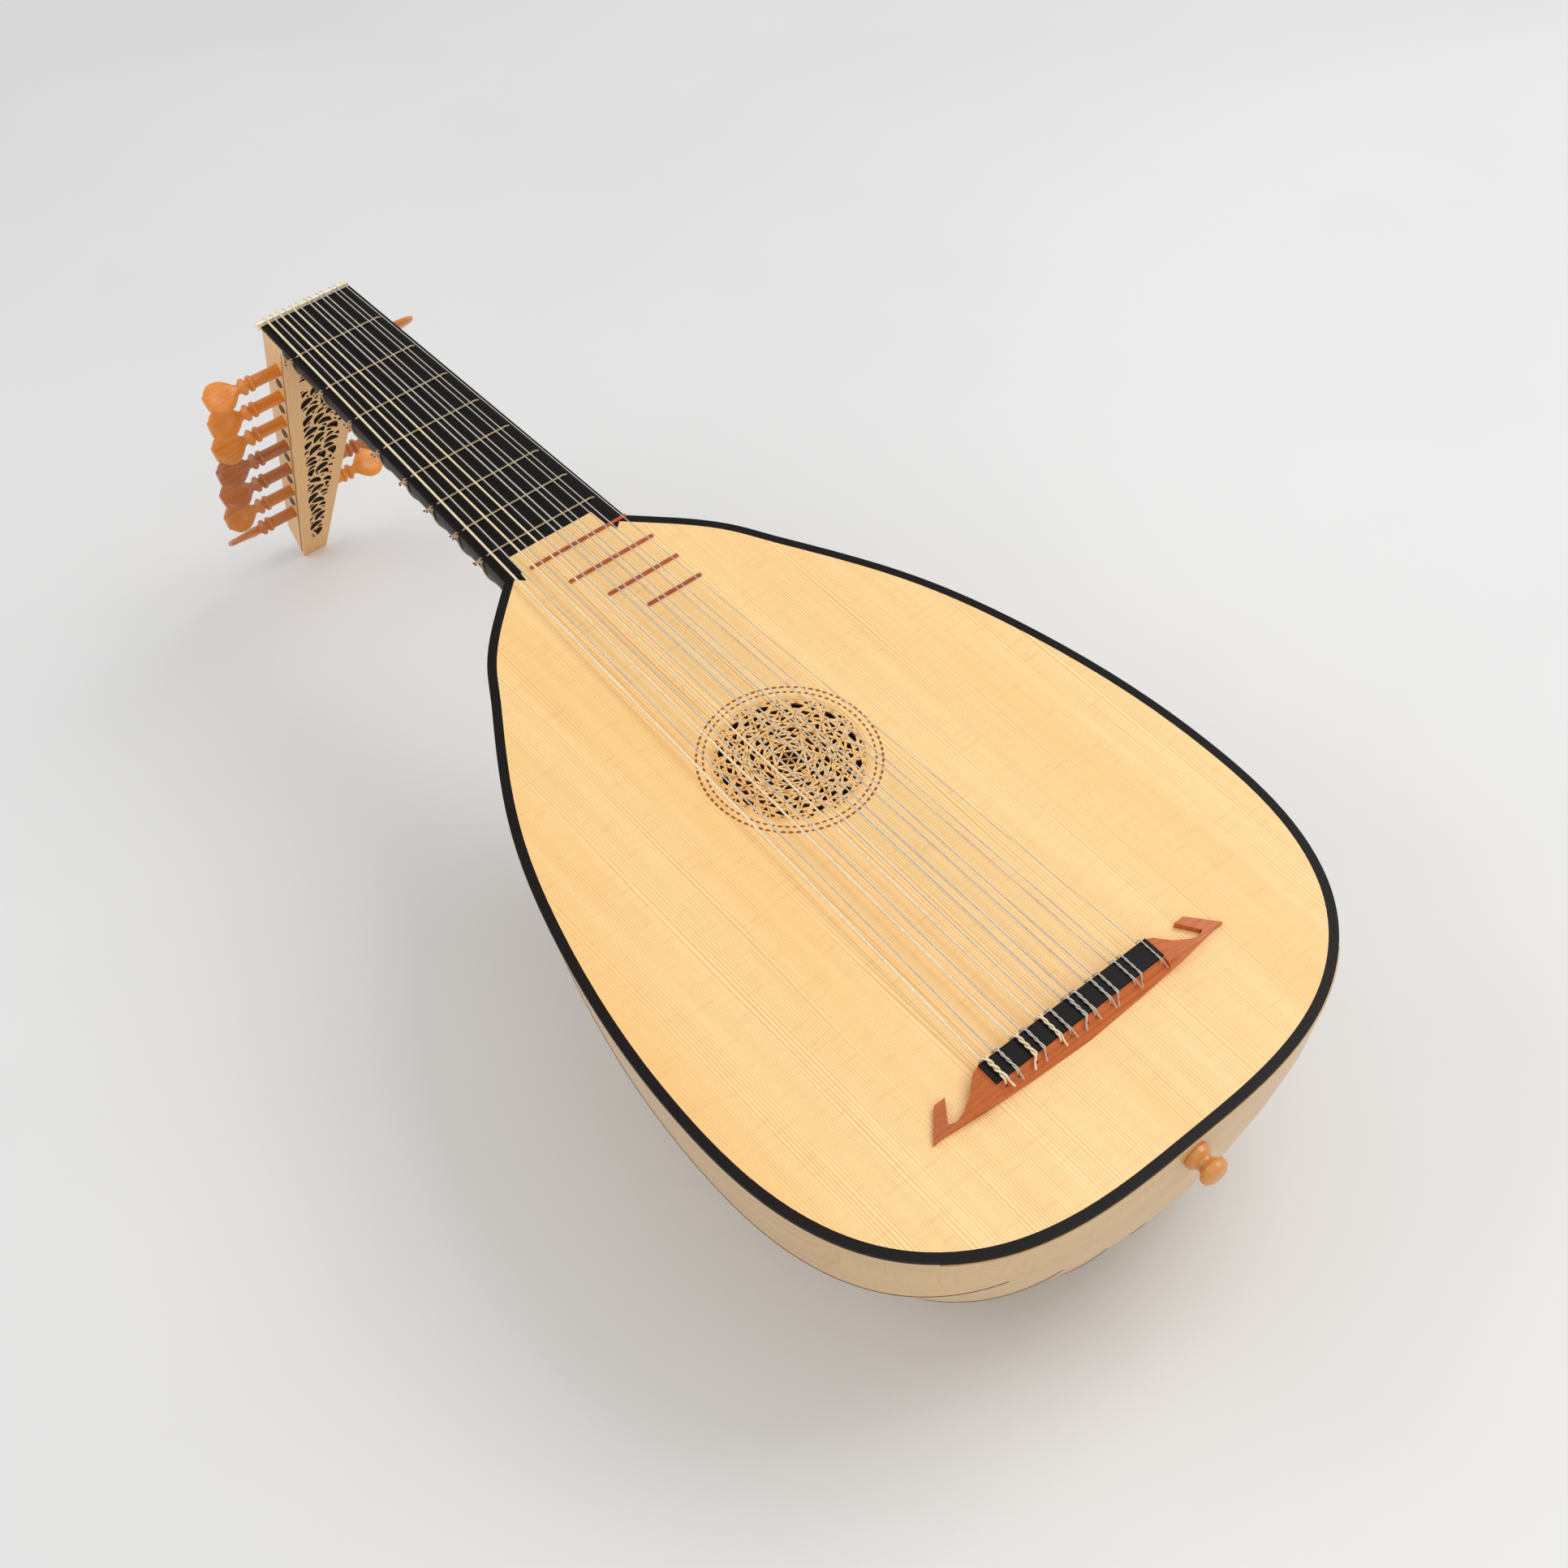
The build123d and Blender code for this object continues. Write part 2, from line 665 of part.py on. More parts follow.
# ---------------------------------------------------------------- resting place
def rest_tilt():
    """Angle that lays the middle rib and the end of the pegbox on one floor."""
    tip_y, tip_z = pegbox_point(pegbox_length, pegbox_depth_tip)
    k = bowl_flat * math.cos(rib_angle / 2)
    low = 0.0
    high = 30.0
    for i in range(50):
        turn = math.radians((low + high) / 2)
        bowl = min(
            y * math.sin(turn) + (underside - k * x) * math.cos(turn)
            for x, y in half_outline(0, 1.0, 0.05, 0.95, 240)
        )
        tip = tip_y * math.sin(turn) + tip_z * math.cos(turn)
        if tip < bowl:
            low = (low + high) / 2
        else:
            high = (low + high) / 2
    return low, bowl


def main():
    fingerboard = make_fingerboard()
    cheeks = (make_cheek(-1), make_cheek(1))
    panel = make_panel()
    nodes = {
        "soundboard": make_soundboard(fingerboard),
        "soundboard_bars": make_bars(),
        "edging_bass": make_edging(-1, fingerboard),
        "edging_treble": make_edging(1, fingerboard),
        "end_clasp": make_clasp(),
        "tail_block": make_tail_block(),
        "neck_block": make_neck_block(),
        "neck": make_neck(),
        "fingerboard": fingerboard,
        "tied_frets": make_tied_frets(),
        "body_frets": make_body_frets(),
        "nut": make_nut(),
        "pegbox_cheek_bass": cheeks[0],
        "pegbox_cheek_treble": cheeks[1],
        "pegbox_panel": panel,
        "pegbox_root": make_root(cheeks, panel),
        "pegbox_end": make_pegbox_end(),
        "bridge": make_bridge([make_string(i, 0.08) for i in range(peg_count)]),
        "bridge_cap": make_cap(),
        "strap_button": make_button(),
    }
    for number, rib in enumerate(make_ribs()):
        nodes[f"rib_{number + 1:02d}"] = rib
    for number in range(peg_count):
        nodes[f"peg_{number + 1:02d}"] = make_peg(number)
        nodes[f"string_{number + 1:02d}"] = make_string(number)
    tilt, floor = rest_tilt()
    turned = {name: Rot(tilt, 0, 0) * shape for name, shape in nodes.items()}
    boxes = [shape.bounding_box() for shape in turned.values()]
    low = [min(getattr(box.min, axis) for box in boxes) for axis in "XYZ"]
    high = [max(getattr(box.max, axis) for box in boxes) for axis in "XYZ"]
    move = Pos(-(low[0] + high[0]) / 2, -(low[1] + high[1]) / 2, -low[2])
    print("tilt", tilt, "floor", floor, "low", low, "high", high)
    for name, shape in turned.items():
        placed = move * shape
        export_step(placed, f"parts/{name}.step")
        print(name, len(placed.solids()), round(placed.volume, 1))


main()
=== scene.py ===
# %% [markdown]
# # A seven-course lute
# A lute is a shell of thin ribs closed by a spruce soundboard. The CAD frame gives every piece its
# size and place. This lesson adds what the eye looks for: the pierced rose, the grain of each wood,
# the twisted string ties on the bridge, the knotted gut frets, the carved pegbox and the turned pegs.

# %% Load the frame
import math
import random

import bmesh
import bpy
import numpy as np
from mathutils import Matrix, Vector
from mathutils.geometry import delaunay_2d_cdt


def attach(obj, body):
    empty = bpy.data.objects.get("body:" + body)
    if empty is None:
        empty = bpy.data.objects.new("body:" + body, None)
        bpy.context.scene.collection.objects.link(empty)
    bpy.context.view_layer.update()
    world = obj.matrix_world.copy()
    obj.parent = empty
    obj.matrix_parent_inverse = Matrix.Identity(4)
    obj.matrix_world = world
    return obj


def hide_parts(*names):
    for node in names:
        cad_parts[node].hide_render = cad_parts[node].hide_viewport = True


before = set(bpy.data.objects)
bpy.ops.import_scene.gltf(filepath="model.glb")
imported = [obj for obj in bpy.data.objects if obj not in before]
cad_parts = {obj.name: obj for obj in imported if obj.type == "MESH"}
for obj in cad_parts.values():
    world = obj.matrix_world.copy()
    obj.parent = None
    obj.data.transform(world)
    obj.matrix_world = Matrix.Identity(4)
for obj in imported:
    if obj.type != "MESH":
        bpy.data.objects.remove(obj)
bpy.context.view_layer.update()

# %% [markdown]
# ## The maker's frame
# The lute lies on its back, tipped so that the middle rib and the end of the pegbox touch the floor.
# A maker measures from the front edge of the bridge, on the flat of the soundboard. The tip is read
# from the fingerboard's top face, and the place of the bridge line from the nut, so every later
# size can be written in the maker's millimetres: x to the treble side, y to the nut, z outwards.

# %% Find the tip and the bridge line
string_length = 600.0


def corners_of(node):
    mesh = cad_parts[node].data
    co = np.zeros(len(mesh.vertices) * 3)
    mesh.vertices.foreach_get("co", co)
    return co.reshape(-1, 3)


def biggest_normal(node):
    """Normal of the largest flat face that looks up."""
    facing_up = [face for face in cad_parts[node].data.polygons if face.normal.z > 0.5]
    return max(facing_up, key=lambda face: face.area).normal.copy()


face_normal = biggest_normal("fingerboard")
tip = math.atan2(-face_normal.y, face_normal.z)
untip = Matrix.Rotation(-tip, 3, "X")
nut_level = corners_of("nut") @ np.array(untip.transposed())
board_level = corners_of("fingerboard") @ np.array(untip.transposed())
shift = Vector((0, nut_level[:, 1].min() - string_length / 1000, board_level[:, 2].max()))
to_row = Matrix.Rotation(tip, 4, "X") @ Matrix.Translation(shift) @ Matrix.Scale(0.001, 4)
to_maker = to_row.inverted()
print("tip", round(math.degrees(tip), 3), "degrees; bridge line at", to_row @ Vector((0, 0, 0)))

# %% [markdown]
# ## Camera
# The camera stands over the bass side of the tail and looks down at the middle of the soundboard.
# Its place and aim are given in the maker's frame, and a rotation matrix is built from the direction
# of sight and from the direction that should point to the top of the picture.

# %% Camera
eye = to_row @ Vector((-406.65, -293.45, 771.22))
aim = to_row @ Vector((-0.81, 162.49, 0.0))
picture_up = to_row.to_3x3() @ Vector((499.6, 604.6, 620.4))
camera = bpy.data.objects.new("camera", bpy.data.cameras.new("camera"))
bpy.context.scene.collection.objects.link(camera)
sight = (aim - eye).normalized()
side = sight.cross(picture_up).normalized()
camera.matrix_world = Matrix((side, side.cross(sight), -sight)).transposed().to_4x4()
camera.location = eye
camera.data.lens = 49.16
camera.data.sensor_width = 36.0
camera.data.shift_x = -0.0202
bpy.context.scene.camera = camera
print("camera", [round(v, 3) for v in eye], "distance", round((aim - eye).length, 3))

# %% [markdown]
# ## Studio
# Plain pale floor, a bright even sky and three large soft lights. Large lights keep the shadow under
# the bowl soft, and the one above the neck gives the black fingerboard and the strings their gloss.

# %% Floor and lights
floor_mesh = bpy.data.meshes.new("studio_floor")
floor_mesh.from_pydata([(-4, -4, 0), (4, -4, 0), (4, 4, 0), (-4, 4, 0)], [], [(0, 1, 2, 3)])
floor = bpy.data.objects.new("studio_floor", floor_mesh)
bpy.context.scene.collection.objects.link(floor)


def soft_light(name, place, watts, size, aim_at=(0, 0, 0.1)):
    lamp = bpy.data.lights.new(name, "AREA")
    lamp.energy = watts
    lamp.size = size
    obj = bpy.data.objects.new(name, lamp)
    obj.location = place
    obj.rotation_euler = (Vector(aim_at) - Vector(place)).to_track_quat("-Z", "Y").to_euler()
    bpy.context.scene.collection.objects.link(obj)
    return obj


soft_light("key_light", (1.2, -0.6, 1.9), 21, 1.4)
soft_light("fill_light", (-1.6, 0.9, 1.5), 9, 1.6)
soft_light("tail_light", (-0.7, -1.7, 0.9), 6, 1.2)
world = bpy.data.worlds.new("studio_sky")
bpy.context.scene.world = world
world.use_nodes = True
world.node_tree.nodes["Background"].inputs["Color"].default_value = (1, 1, 1, 1)
world.node_tree.nodes["Background"].inputs["Strength"].default_value = 0.66
bpy.context.scene.view_settings.view_transform = "Standard"

# %% [markdown]
# ## Making a finish
# Wood shows three things: growth rings as fine lines, short fibres along the grain, and slow changes
# of tone. One function builds all three from noise and waves on a coordinate whose Y runs along the
# grain. Most pieces take that coordinate from the object's own space, turned to suit the piece. The
# ribs bend away from any straight direction, so they carry a map of their own instead.

# %% Small helpers for shader trees


def paint(red, green, blue):
    """A colour given as on a paint card, 0 to 255, as the linear numbers that a shader wants."""
    linear = []
    for c in (red, green, blue):
        linear.append(c / 255 / 12.92 if c < 10 else ((c / 255 + 0.055) / 1.055) ** 2.4)
    return (*linear, 1.0)


def add(tree, kind, inputs=None, **settings):
    """A new node. Each input is set to a number or linked to another node's output."""
    node = tree.nodes.new(kind)
    for key, value in settings.items():
        setattr(node, key, value)
    for key, value in (inputs or {}).items():
        if isinstance(value, bpy.types.NodeSocket):
            tree.links.new(value, node.inputs[key])
        else:
            node.inputs[key].default_value = value
    return node


def join(tree, a, b):
    tree.links.new(a, b)


def sum_up(tree, operation, a, b):
    return add(tree, "ShaderNodeMath", {0: a, 1: b}, operation=operation).outputs[0]


def blend_colours(tree, factor, a, b):
    return add(tree, "ShaderNodeMix", {0: factor, 6: a, 7: b}, data_type="RGBA").outputs[2]


def ramp(tree, factor, low, high):
    """0 below low, 1 above high, smooth between."""
    inputs = {"Value": factor, "From Min": low, "From Max": high}
    return add(tree, "ShaderNodeMapRange", inputs, interpolation_type="SMOOTHSTEP").outputs["Result"]


def blank_finish(name, roughness, coat=0.0):
    material = bpy.data.materials.new(name)
    material.use_nodes = True
    shader = material.node_tree.nodes["Principled BSDF"]
    shader.inputs["Roughness"].default_value = roughness
    shader.inputs["Coat Weight"].default_value = coat
    shader.inputs["Coat Roughness"].default_value = 0.22
    return material, material.node_tree, shader


def maker_space(tree, turn_x=0.0, turn_z=0.0):
    """The maker's frame in metres, from object coordinates, with its Y turned along the grain."""
    source = add(tree, "ShaderNodeTexCoord").outputs["Object"]
    for turn, place in (((-tip, 0, 0), tuple(-shift)), ((turn_x, 0, turn_z), (0, 0, 0))):
        inputs = {"Vector": source, "Rotation": turn, "Location": place}
        source = add(tree, "ShaderNodeMapping", inputs).outputs["Vector"]
    return source


def stretched(tree, source, scale):
    return add(tree, "ShaderNodeMapping", {"Vector": source, "Scale": scale}).outputs["Vector"]


def noise(tree, source, scale, detail=3.0, roughness=0.55):
    inputs = {"Vector": source, "Scale": scale, "Detail": detail, "Roughness": roughness}
    return add(tree, "ShaderNodeTexNoise", inputs).outputs["Fac"]


def bump(tree, shader, height, strength):
    inputs = {"Height": height, "Strength": strength, "Distance": 0.0002}
    join(tree, add(tree, "ShaderNodeBump", inputs).outputs["Normal"], shader.inputs["Normal"])


print("shader helpers ready; white is", paint(255, 255, 255))

# %% [markdown]
# ## Wood
# `ring` is the distance between growth lines in metres. Spruce has clear fine lines, maple hardly
# any, and the turned fruitwood only broad streaks. `figure` adds the shimmer that crosses the grain,
# called silk in spruce and flame in maple.

# %% Wood finish


def wood(name, light, dark, deep, ring=0.0013, lines=0.35, fibre=0.3, tone=0.5, figure=0.1,
         roughness=0.42, coat=0.15, turn_x=0.0, turn_z=0.0, mapped=False):
    material, tree, shader = blank_finish(name, roughness, coat)
    light, dark, deep = paint(*light), paint(*dark), paint(*deep)
    if mapped:
        grain = add(tree, "ShaderNodeUVMap", uv_map="grain").outputs["UV"]
    else:
        grain = maker_space(tree, turn_x, turn_z)
    long_grain = stretched(tree, grain, (1.0, 0.04, 1.0))
    split = add(tree, "ShaderNodeSeparateXYZ", {0: grain})
    wander = sum_up(tree, "MULTIPLY", noise(tree, long_grain, 45, 2), 9 * ring)
    across = sum_up(tree, "ADD", split.outputs["X"], wander)
    phase = sum_up(tree, "FRACT", sum_up(tree, "DIVIDE", across, ring), 0)
    late_wood = ramp(tree, phase, 0.35, 0.97)
    strength = sum_up(tree, "MULTIPLY", late_wood, noise(tree, long_grain, 160, 2))
    fibres = noise(tree, stretched(tree, grain, (1.0, 0.018, 1.0)), 2600, 3, 0.7)
    slow = noise(tree, stretched(tree, grain, (1.0, 0.12, 1.0)), 16, 3)
    silk = noise(tree, stretched(tree, grain, (0.12, 1.0, 0.12)), 420, 3)
    colour = blend_colours(tree, sum_up(tree, "MULTIPLY", strength, 2 * lines), light, dark)
    fleck = sum_up(tree, "MULTIPLY", ramp(tree, fibres, 0.45, 0.75), fibre)
    colour = blend_colours(tree, fleck, colour, dark)
    drift = sum_up(tree, "MULTIPLY", ramp(tree, slow, 0.42, 0.75), tone)
    colour = blend_colours(tree, drift, colour, deep)
    shimmer = sum_up(tree, "MULTIPLY", ramp(tree, silk, 0.5, 0.8), figure)
    colour = blend_colours(tree, shimmer, colour, dark)
    join(tree, colour, shader.inputs["Base Color"])
    height = sum_up(tree, "SUBTRACT", fibres, sum_up(tree, "MULTIPLY", strength, 0.6))
    bump(tree, shader, height, 0.18)
    return material


lean = math.radians(19.0)
spruce = wood("spruce", (250, 214, 152), (216, 156, 84), (240, 184, 108), ring=0.0014,
              lines=0.66, fibre=0.3, tone=0.55, figure=0.32, roughness=0.46, coat=0.1)
rose_wood = wood("rose_wood", (246, 202, 136), (204, 142, 72), (226, 160, 84), ring=0.0014,
                 lines=0.5, fibre=0.3, tone=0.6, figure=0.2, roughness=0.5)
rib_maple = wood("rib_maple", (214, 178, 126), (176, 138, 90), (186, 146, 92),
                 ring=0.004, lines=0.18, fibre=0.3, tone=0.7, figure=0.35, roughness=0.36, coat=0.3,
                 mapped=True)
clasp_maple = wood("clasp_maple", (214, 178, 126), (176, 138, 90), (190, 150, 98),
                   ring=0.004, lines=0.15, fibre=0.3, tone=0.6, figure=0.2, roughness=0.36, coat=0.3,
                   turn_z=math.pi / 2)
pegbox_wood = wood("pegbox_wood", (232, 184, 122), (196, 142, 84), (210, 152, 88),
                   ring=0.0022, lines=0.2, fibre=0.35, tone=0.6, figure=0.12, roughness=0.5,
                   turn_x=math.pi / 2 - lean)
bridge_wood = wood("bridge_wood", (196, 96, 20), (132, 56, 8), (164, 72, 12),
                   ring=0.003, lines=0.3, fibre=0.45, tone=0.8, roughness=0.38, coat=0.3,
                   turn_z=math.pi / 2)
button_wood = wood("button_wood", (222, 156, 82), (180, 108, 46), (198, 124, 54),
                   ring=0.0025, lines=0.25, fibre=0.4, tone=0.7, roughness=0.36, coat=0.3)
fret_wood = wood("fret_wood", (176, 82, 40), (120, 50, 24), (138, 60, 30),
                 ring=0.003, lines=0.3, fibre=0.5, tone=0.7, turn_z=math.pi / 2)
ebony = wood("ebony", (17, 14, 13), (11, 10, 10), (26, 16, 13), ring=0.003, lines=0.3,
             fibre=0.5, tone=0.5, figure=0.0, roughness=0.4, coat=0.0)
ebony.node_tree.nodes["Principled BSDF"].inputs["Specular IOR Level"].default_value = 0.14
print("woods", len(bpy.data.materials))

# %% [markdown]
# ## Pegs of uneven colour
# The pegs were stained by hand, and each took the colour differently: the ones near the nut are
# bright orange, others are a browner red. A family of finishes comes from one loop.

# %% Peg finishes
bright = ((236, 148, 42), (198, 102, 22), (220, 122, 28))
brown = ((172, 98, 54), (120, 62, 32), (146, 78, 40))
browner = {7: 0.9, 9: 0.8, 11: 0.45, 13: 0.6, 6: 0.3, 10: 0.6}
peg_finish = {}
for number in range(1, 14):
    share = browner.get(number, 0.12 * (number % 3))
    shades = []
    for first, second in zip(bright, brown):
        shades.append([a + (b - a) * share for a, b in zip(first, second)])
    peg_finish[number] = wood(f"peg_wood_{number:02d}", *shades, ring=0.0028, lines=0.3, fibre=0.35,
                              tone=0.8, roughness=0.36, coat=0.25, turn_z=math.pi / 2)
print("peg finishes", len(peg_finish))

# %% [markdown]
# ## Bone, gut, burnt edges and painted shade
# The nut is bone: almost white, with faint darker streaks. Frets are twisted gut, strings are smooth
# gut. Edges cut in the rose are scorched brown by the tool. The walls of the pegbox openings are painted
# nearly black as painted shade for the dark inside of the pegbox, and every glue line is a dull brown.

# %% Other finishes


def mottled(name, light, dark, scale, roughness, coat=0.0, strength=0.1, stretch=(1, 1, 1)):
    material, tree, shader = blank_finish(name, roughness, coat)
    fine = noise(tree, stretched(tree, maker_space(tree), stretch), scale, 3)
    colour = blend_colours(tree, ramp(tree, fine, 0.35, 0.7), paint(*light), paint(*dark))
    join(tree, colour, shader.inputs["Base Color"])
    bump(tree, shader, fine, strength)
    return material


bone = mottled("bone", (248, 236, 208), (236, 218, 180), 260, 0.35, 0.2, stretch=(0.3, 1, 1))
fret_gut_finish = mottled("fret_gut", (186, 164, 128), (150, 128, 94), 1800, 0.5, strength=0.3)
thick_gut_finish = mottled("thick_gut", (240, 224, 188), (222, 200, 158), 900, 0.35, 0.1)
clear_gut_finish = mottled("clear_gut", (198, 192, 180), (176, 168, 156), 900, 0.3, 0.1)
burnt_gut = mottled("burnt_gut", (128, 78, 40), (84, 48, 26), 1500, 0.5)
scorched = mottled("scorched_edge", (158, 90, 38), (112, 60, 26), 700, 0.7)
# Painted shade: near-black walls for the pegbox openings, standing in for the shaded inside of the
# pegbox.
pegbox_opening_shade = mottled("painted_shade_edge", (44, 29, 19), (26, 17, 12), 700, 0.8)
peg_tip = mottled("peg_tip", (70, 40, 22), (46, 26, 15), 900, 0.5)
seam_line = mottled("seam_line", (112, 86, 60), (88, 64, 42), 500, 0.6)
floor_finish = mottled("floor_paint", (226, 226, 226), (223, 223, 223), 3, 0.8, strength=0.02)
floor_mesh.materials.append(floor_finish)
print("finishes in all", len(bpy.data.materials))

# %% [markdown]
# ## Pieces that keep their CAD shape
# Flat and plainly shaped pieces need no new mesh. Their objects get a finish in the first material
# slot, and nothing else about them changes.

# %% Dress the CAD pieces
dress = {
    "edging_bass": ebony, "edging_treble": ebony, "neck": ebony, "fingerboard": ebony, "nut": bone,
    "bridge": bridge_wood, "bridge_cap": ebony, "end_clasp": clasp_maple, "body_frets": fret_wood,
    "pegbox_cheek_bass": pegbox_wood, "pegbox_cheek_treble": pegbox_wood, "pegbox_root": pegbox_wood,
    "pegbox_end": pegbox_wood, "soundboard_bars": spruce, "tail_block": spruce, "neck_block": spruce,
    "strap_button": button_wood,
}
for node, finish in dress.items():
    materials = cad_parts[node].data.materials
    materials.clear()
    materials.append(finish)
print("dressed", len(dress), "CAD pieces")

# %% [markdown]
# ## Turning a mesh into a piece
# Every finished piece has its place in its mesh and its object at the origin. `place_piece` takes
# meshes in the maker's millimetres, joins them and turns them into the frame, gives them smooth
# shading with crisp edges, ties the piece to a body and hides the CAD nodes that it stands for.

# %% Piece helpers


def gather(meshes, name):
    """Several meshes as one."""
    work = bmesh.new()
    for mesh in meshes:
        work.from_mesh(mesh)
    joined = bpy.data.meshes.new(name)
    work.to_mesh(joined)
    work.free()
    return joined


def place_piece(name, meshes, finishes, body="lute", replaces=(), crisp=32):
    mesh = gather(meshes, name)
    mesh.transform(to_row)
    work = bmesh.new()
    work.from_mesh(mesh)
    for face in work.faces:
        face.smooth = True
    for edge in work.edges:
        flat = len(edge.link_faces) == 2 and edge.calc_face_angle(0) < math.radians(crisp)
        edge.smooth = flat
    work.to_mesh(mesh)
    work.free()
    slots = [face.material_index for face in mesh.polygons]
    mesh.materials.clear()
    for finish in finishes:
        mesh.materials.append(finish)
    mesh.polygons.foreach_set("material_index", slots)
    piece = bpy.data.objects.new(name, mesh)
    bpy.context.scene.collection.objects.link(piece)
    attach(piece, body)
    if replaces:
        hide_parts(*replaces)
    return piece


def welded_copy(node):
    """A copy of a CAD mesh in the maker's millimetres, its loose triangles joined."""
    work = bmesh.new()
    work.from_mesh(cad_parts[node].data)
    bmesh.ops.transform(work, matrix=to_maker, verts=work.verts)
    bmesh.ops.remove_doubles(work, verts=work.verts, dist=0.002)
    return work


def as_mesh(work, name):
    bmesh.ops.recalc_face_normals(work, faces=work.faces)
    mesh = bpy.data.meshes.new(name)
    work.to_mesh(mesh)
    work.free()
    return mesh


def curve_through(points, kind):
    curve = bpy.data.curves.new("line", "CURVE")
    curve.dimensions = "3D"
    spline = curve.splines.new(kind)
    spline.points.add(len(points) - 1)
    for target, point in zip(spline.points, points):
        target.co = (*point, 1)
    return curve, spline


def curve_mesh(curve):
    holder = bpy.data.objects.new("line", curve)
    mesh = bpy.data.meshes.new_from_object(holder)
    bpy.data.objects.remove(holder)
    return mesh


def tube(points, radius, sides=8):
    """A round bar along points, as a mesh, made by a curve with a bevel."""
    curve, _ = curve_through(points, "POLY")
    curve.bevel_depth = radius
    curve.bevel_resolution = sides // 4 - 1
    curve.use_fill_caps = True
    return curve_mesh(curve)


def rounded(points, steps):
    """Points along a smooth NURBS line whose control points are given."""
    curve, spline = curve_through(points, "NURBS")
    spline.order_u = 3
    spline.use_endpoint_u = True
    spline.resolution_u = steps
    return [v.co.copy() for v in curve_mesh(curve).vertices]


print("piece helpers ready")

# %% [markdown]
# ## Geometry Nodes helpers
# A tree is described once, with named inputs. `grow` puts it on an object as a modifier, sets each
# input by its identifier, reads the evaluated result back as a plain mesh and takes the modifier off.

# %% Geometry Nodes helpers


def new_tree(name, numbers):
    tree = bpy.data.node_groups.new(name, "GeometryNodeTree")
    tree.interface.new_socket("Geometry", in_out="INPUT", socket_type="NodeSocketGeometry")
    kinds = {float: "NodeSocketFloat", int: "NodeSocketInt", tuple: "NodeSocketVector"}
    for label, value in numbers.items():
        socket = tree.interface.new_socket(label, in_out="INPUT", socket_type=kinds[type(value)])
        socket.default_value = value
    tree.interface.new_socket("Geometry", in_out="OUTPUT", socket_type="NodeSocketGeometry")
    return tree, add(tree, "NodeGroupInput"), add(tree, "NodeGroupOutput")


def grow(tree, numbers, start=None):
    holder = bpy.data.objects.new("holder", start or bpy.data.meshes.new("empty"))
    bpy.context.scene.collection.objects.link(holder)
    modifier = holder.modifiers.new("grow", "NODES")
    modifier.node_group = tree
    sockets = {s.name: s.identifier for s in tree.interface.items_tree if s.in_out == "INPUT"}
    for label, value in numbers.items():
        modifier[sockets[label]] = value
    bpy.context.view_layer.update()
    graph = bpy.context.evaluated_depsgraph_get()
    mesh = bpy.data.meshes.new_from_object(holder.evaluated_get(graph))
    holder.modifiers.remove(modifier)
    bpy.data.objects.remove(holder)
    return mesh


def turned_copies(tree, points, shape, count, first_turn=0.0, scale=(1, 1, 1)):
    """A shape on each point, turned by its share of the circle, as real geometry."""
    index = add(tree, "GeometryNodeInputIndex").outputs[0]
    step = sum_up(tree, "DIVIDE", 2 * math.pi, count)
    turn = sum_up(tree, "ADD", sum_up(tree, "MULTIPLY", index, step), first_turn)
    spin = add(tree, "ShaderNodeCombineXYZ", {"Z": turn})
    rotation = add(tree, "FunctionNodeEulerToRotation", {0: spin.outputs[0]})
    inputs = {"Points": points, "Instance": shape, "Rotation": rotation.outputs[0], "Scale": scale}
    copies = add(tree, "GeometryNodeInstanceOnPoints", inputs)
    return add(tree, "GeometryNodeRealizeInstances", {0: copies.outputs[0]}).outputs[0]


def finished(tree, geometry, finish, chosen=True):
    inputs = {"Geometry": geometry, "Material": finish, "Selection": chosen}
    return add(tree, "GeometryNodeSetMaterial", inputs).outputs[0]


def two_finishes(tree, geometry, top, edge):
    """Top finish on faces that look up, edge finish on the walls."""
    normal = add(tree, "GeometryNodeInputNormal")
    split = add(tree, "ShaderNodeSeparateXYZ", {0: normal.outputs[0]})
    inputs = {0: split.outputs["Z"], 1: 0.5}
    wall = add(tree, "FunctionNodeCompare", inputs, data_type="FLOAT", operation="LESS_THAN")
    return finished(tree, finished(tree, geometry, top), edge, wall.outputs[0])


print("geometry helpers ready")

# %% [markdown]
# ## Ribs with their grain lengthwise
# Each rib was cut from a straight plank and bent over a mould, so its grain runs the whole length
# and never across. The CAD shape is right, and a copy of it gets a map in metres: one way along
# the bend, the other way across the rib. A different start for every rib makes each one a separate
# plank with its own tone.

# %% Ribs
rib_count = 9
underside = -1.8
bowl_middle = 110.0
deepest = min((to_maker @ Vector(p)).z for p in corners_of("rib_05"))
half_width = max((to_maker @ Vector(p)).x for p in corners_of("rib_01"))
bowl_flat = (underside - deepest) / (half_width * math.cos(math.pi / rib_count / 2))


def rib_angle_of(point):
    return math.atan2((underside - point.z) / bowl_flat, point.x)


def mapped_rib(number):
    work = welded_copy(f"rib_{number:02d}")
    middle = (number - 0.5) * math.pi / rib_count
    grain = work.loops.layers.uv.new("grain")
    for face in work.faces:
        for loop in face.loops:
            point = loop.vert.co
            out = math.hypot(point.x, (underside - point.z) / bowl_flat)
            along = math.atan2(out, point.y - bowl_middle)
            across = (rib_angle_of(point) - middle) * out
            loop[grain].uv = (0.001 * across + 1.37 * number, 0.22 * along + 0.61 * number)
    node = f"rib_{number:02d}"
    return place_piece(f"{node}_maple", [as_mesh(work, node)], [rib_maple], replaces=[node])


ribs = [mapped_rib(number) for number in range(1, rib_count + 1)]
print("ribs", len(ribs), "flatness of the bowl", round(bowl_flat, 3))

# %% [markdown]
# ## Seams between the ribs
# Two ribs meet edge to edge, and the glue line between them reads as a fine dark thread. It follows
# the edges where the outside of a rib meets the plane that the rib shares with the next one.

# %% Rib seams
seam_radius = 0.25
seam_step = 1.5
bowl_centre = Vector((0, bowl_middle, underside))


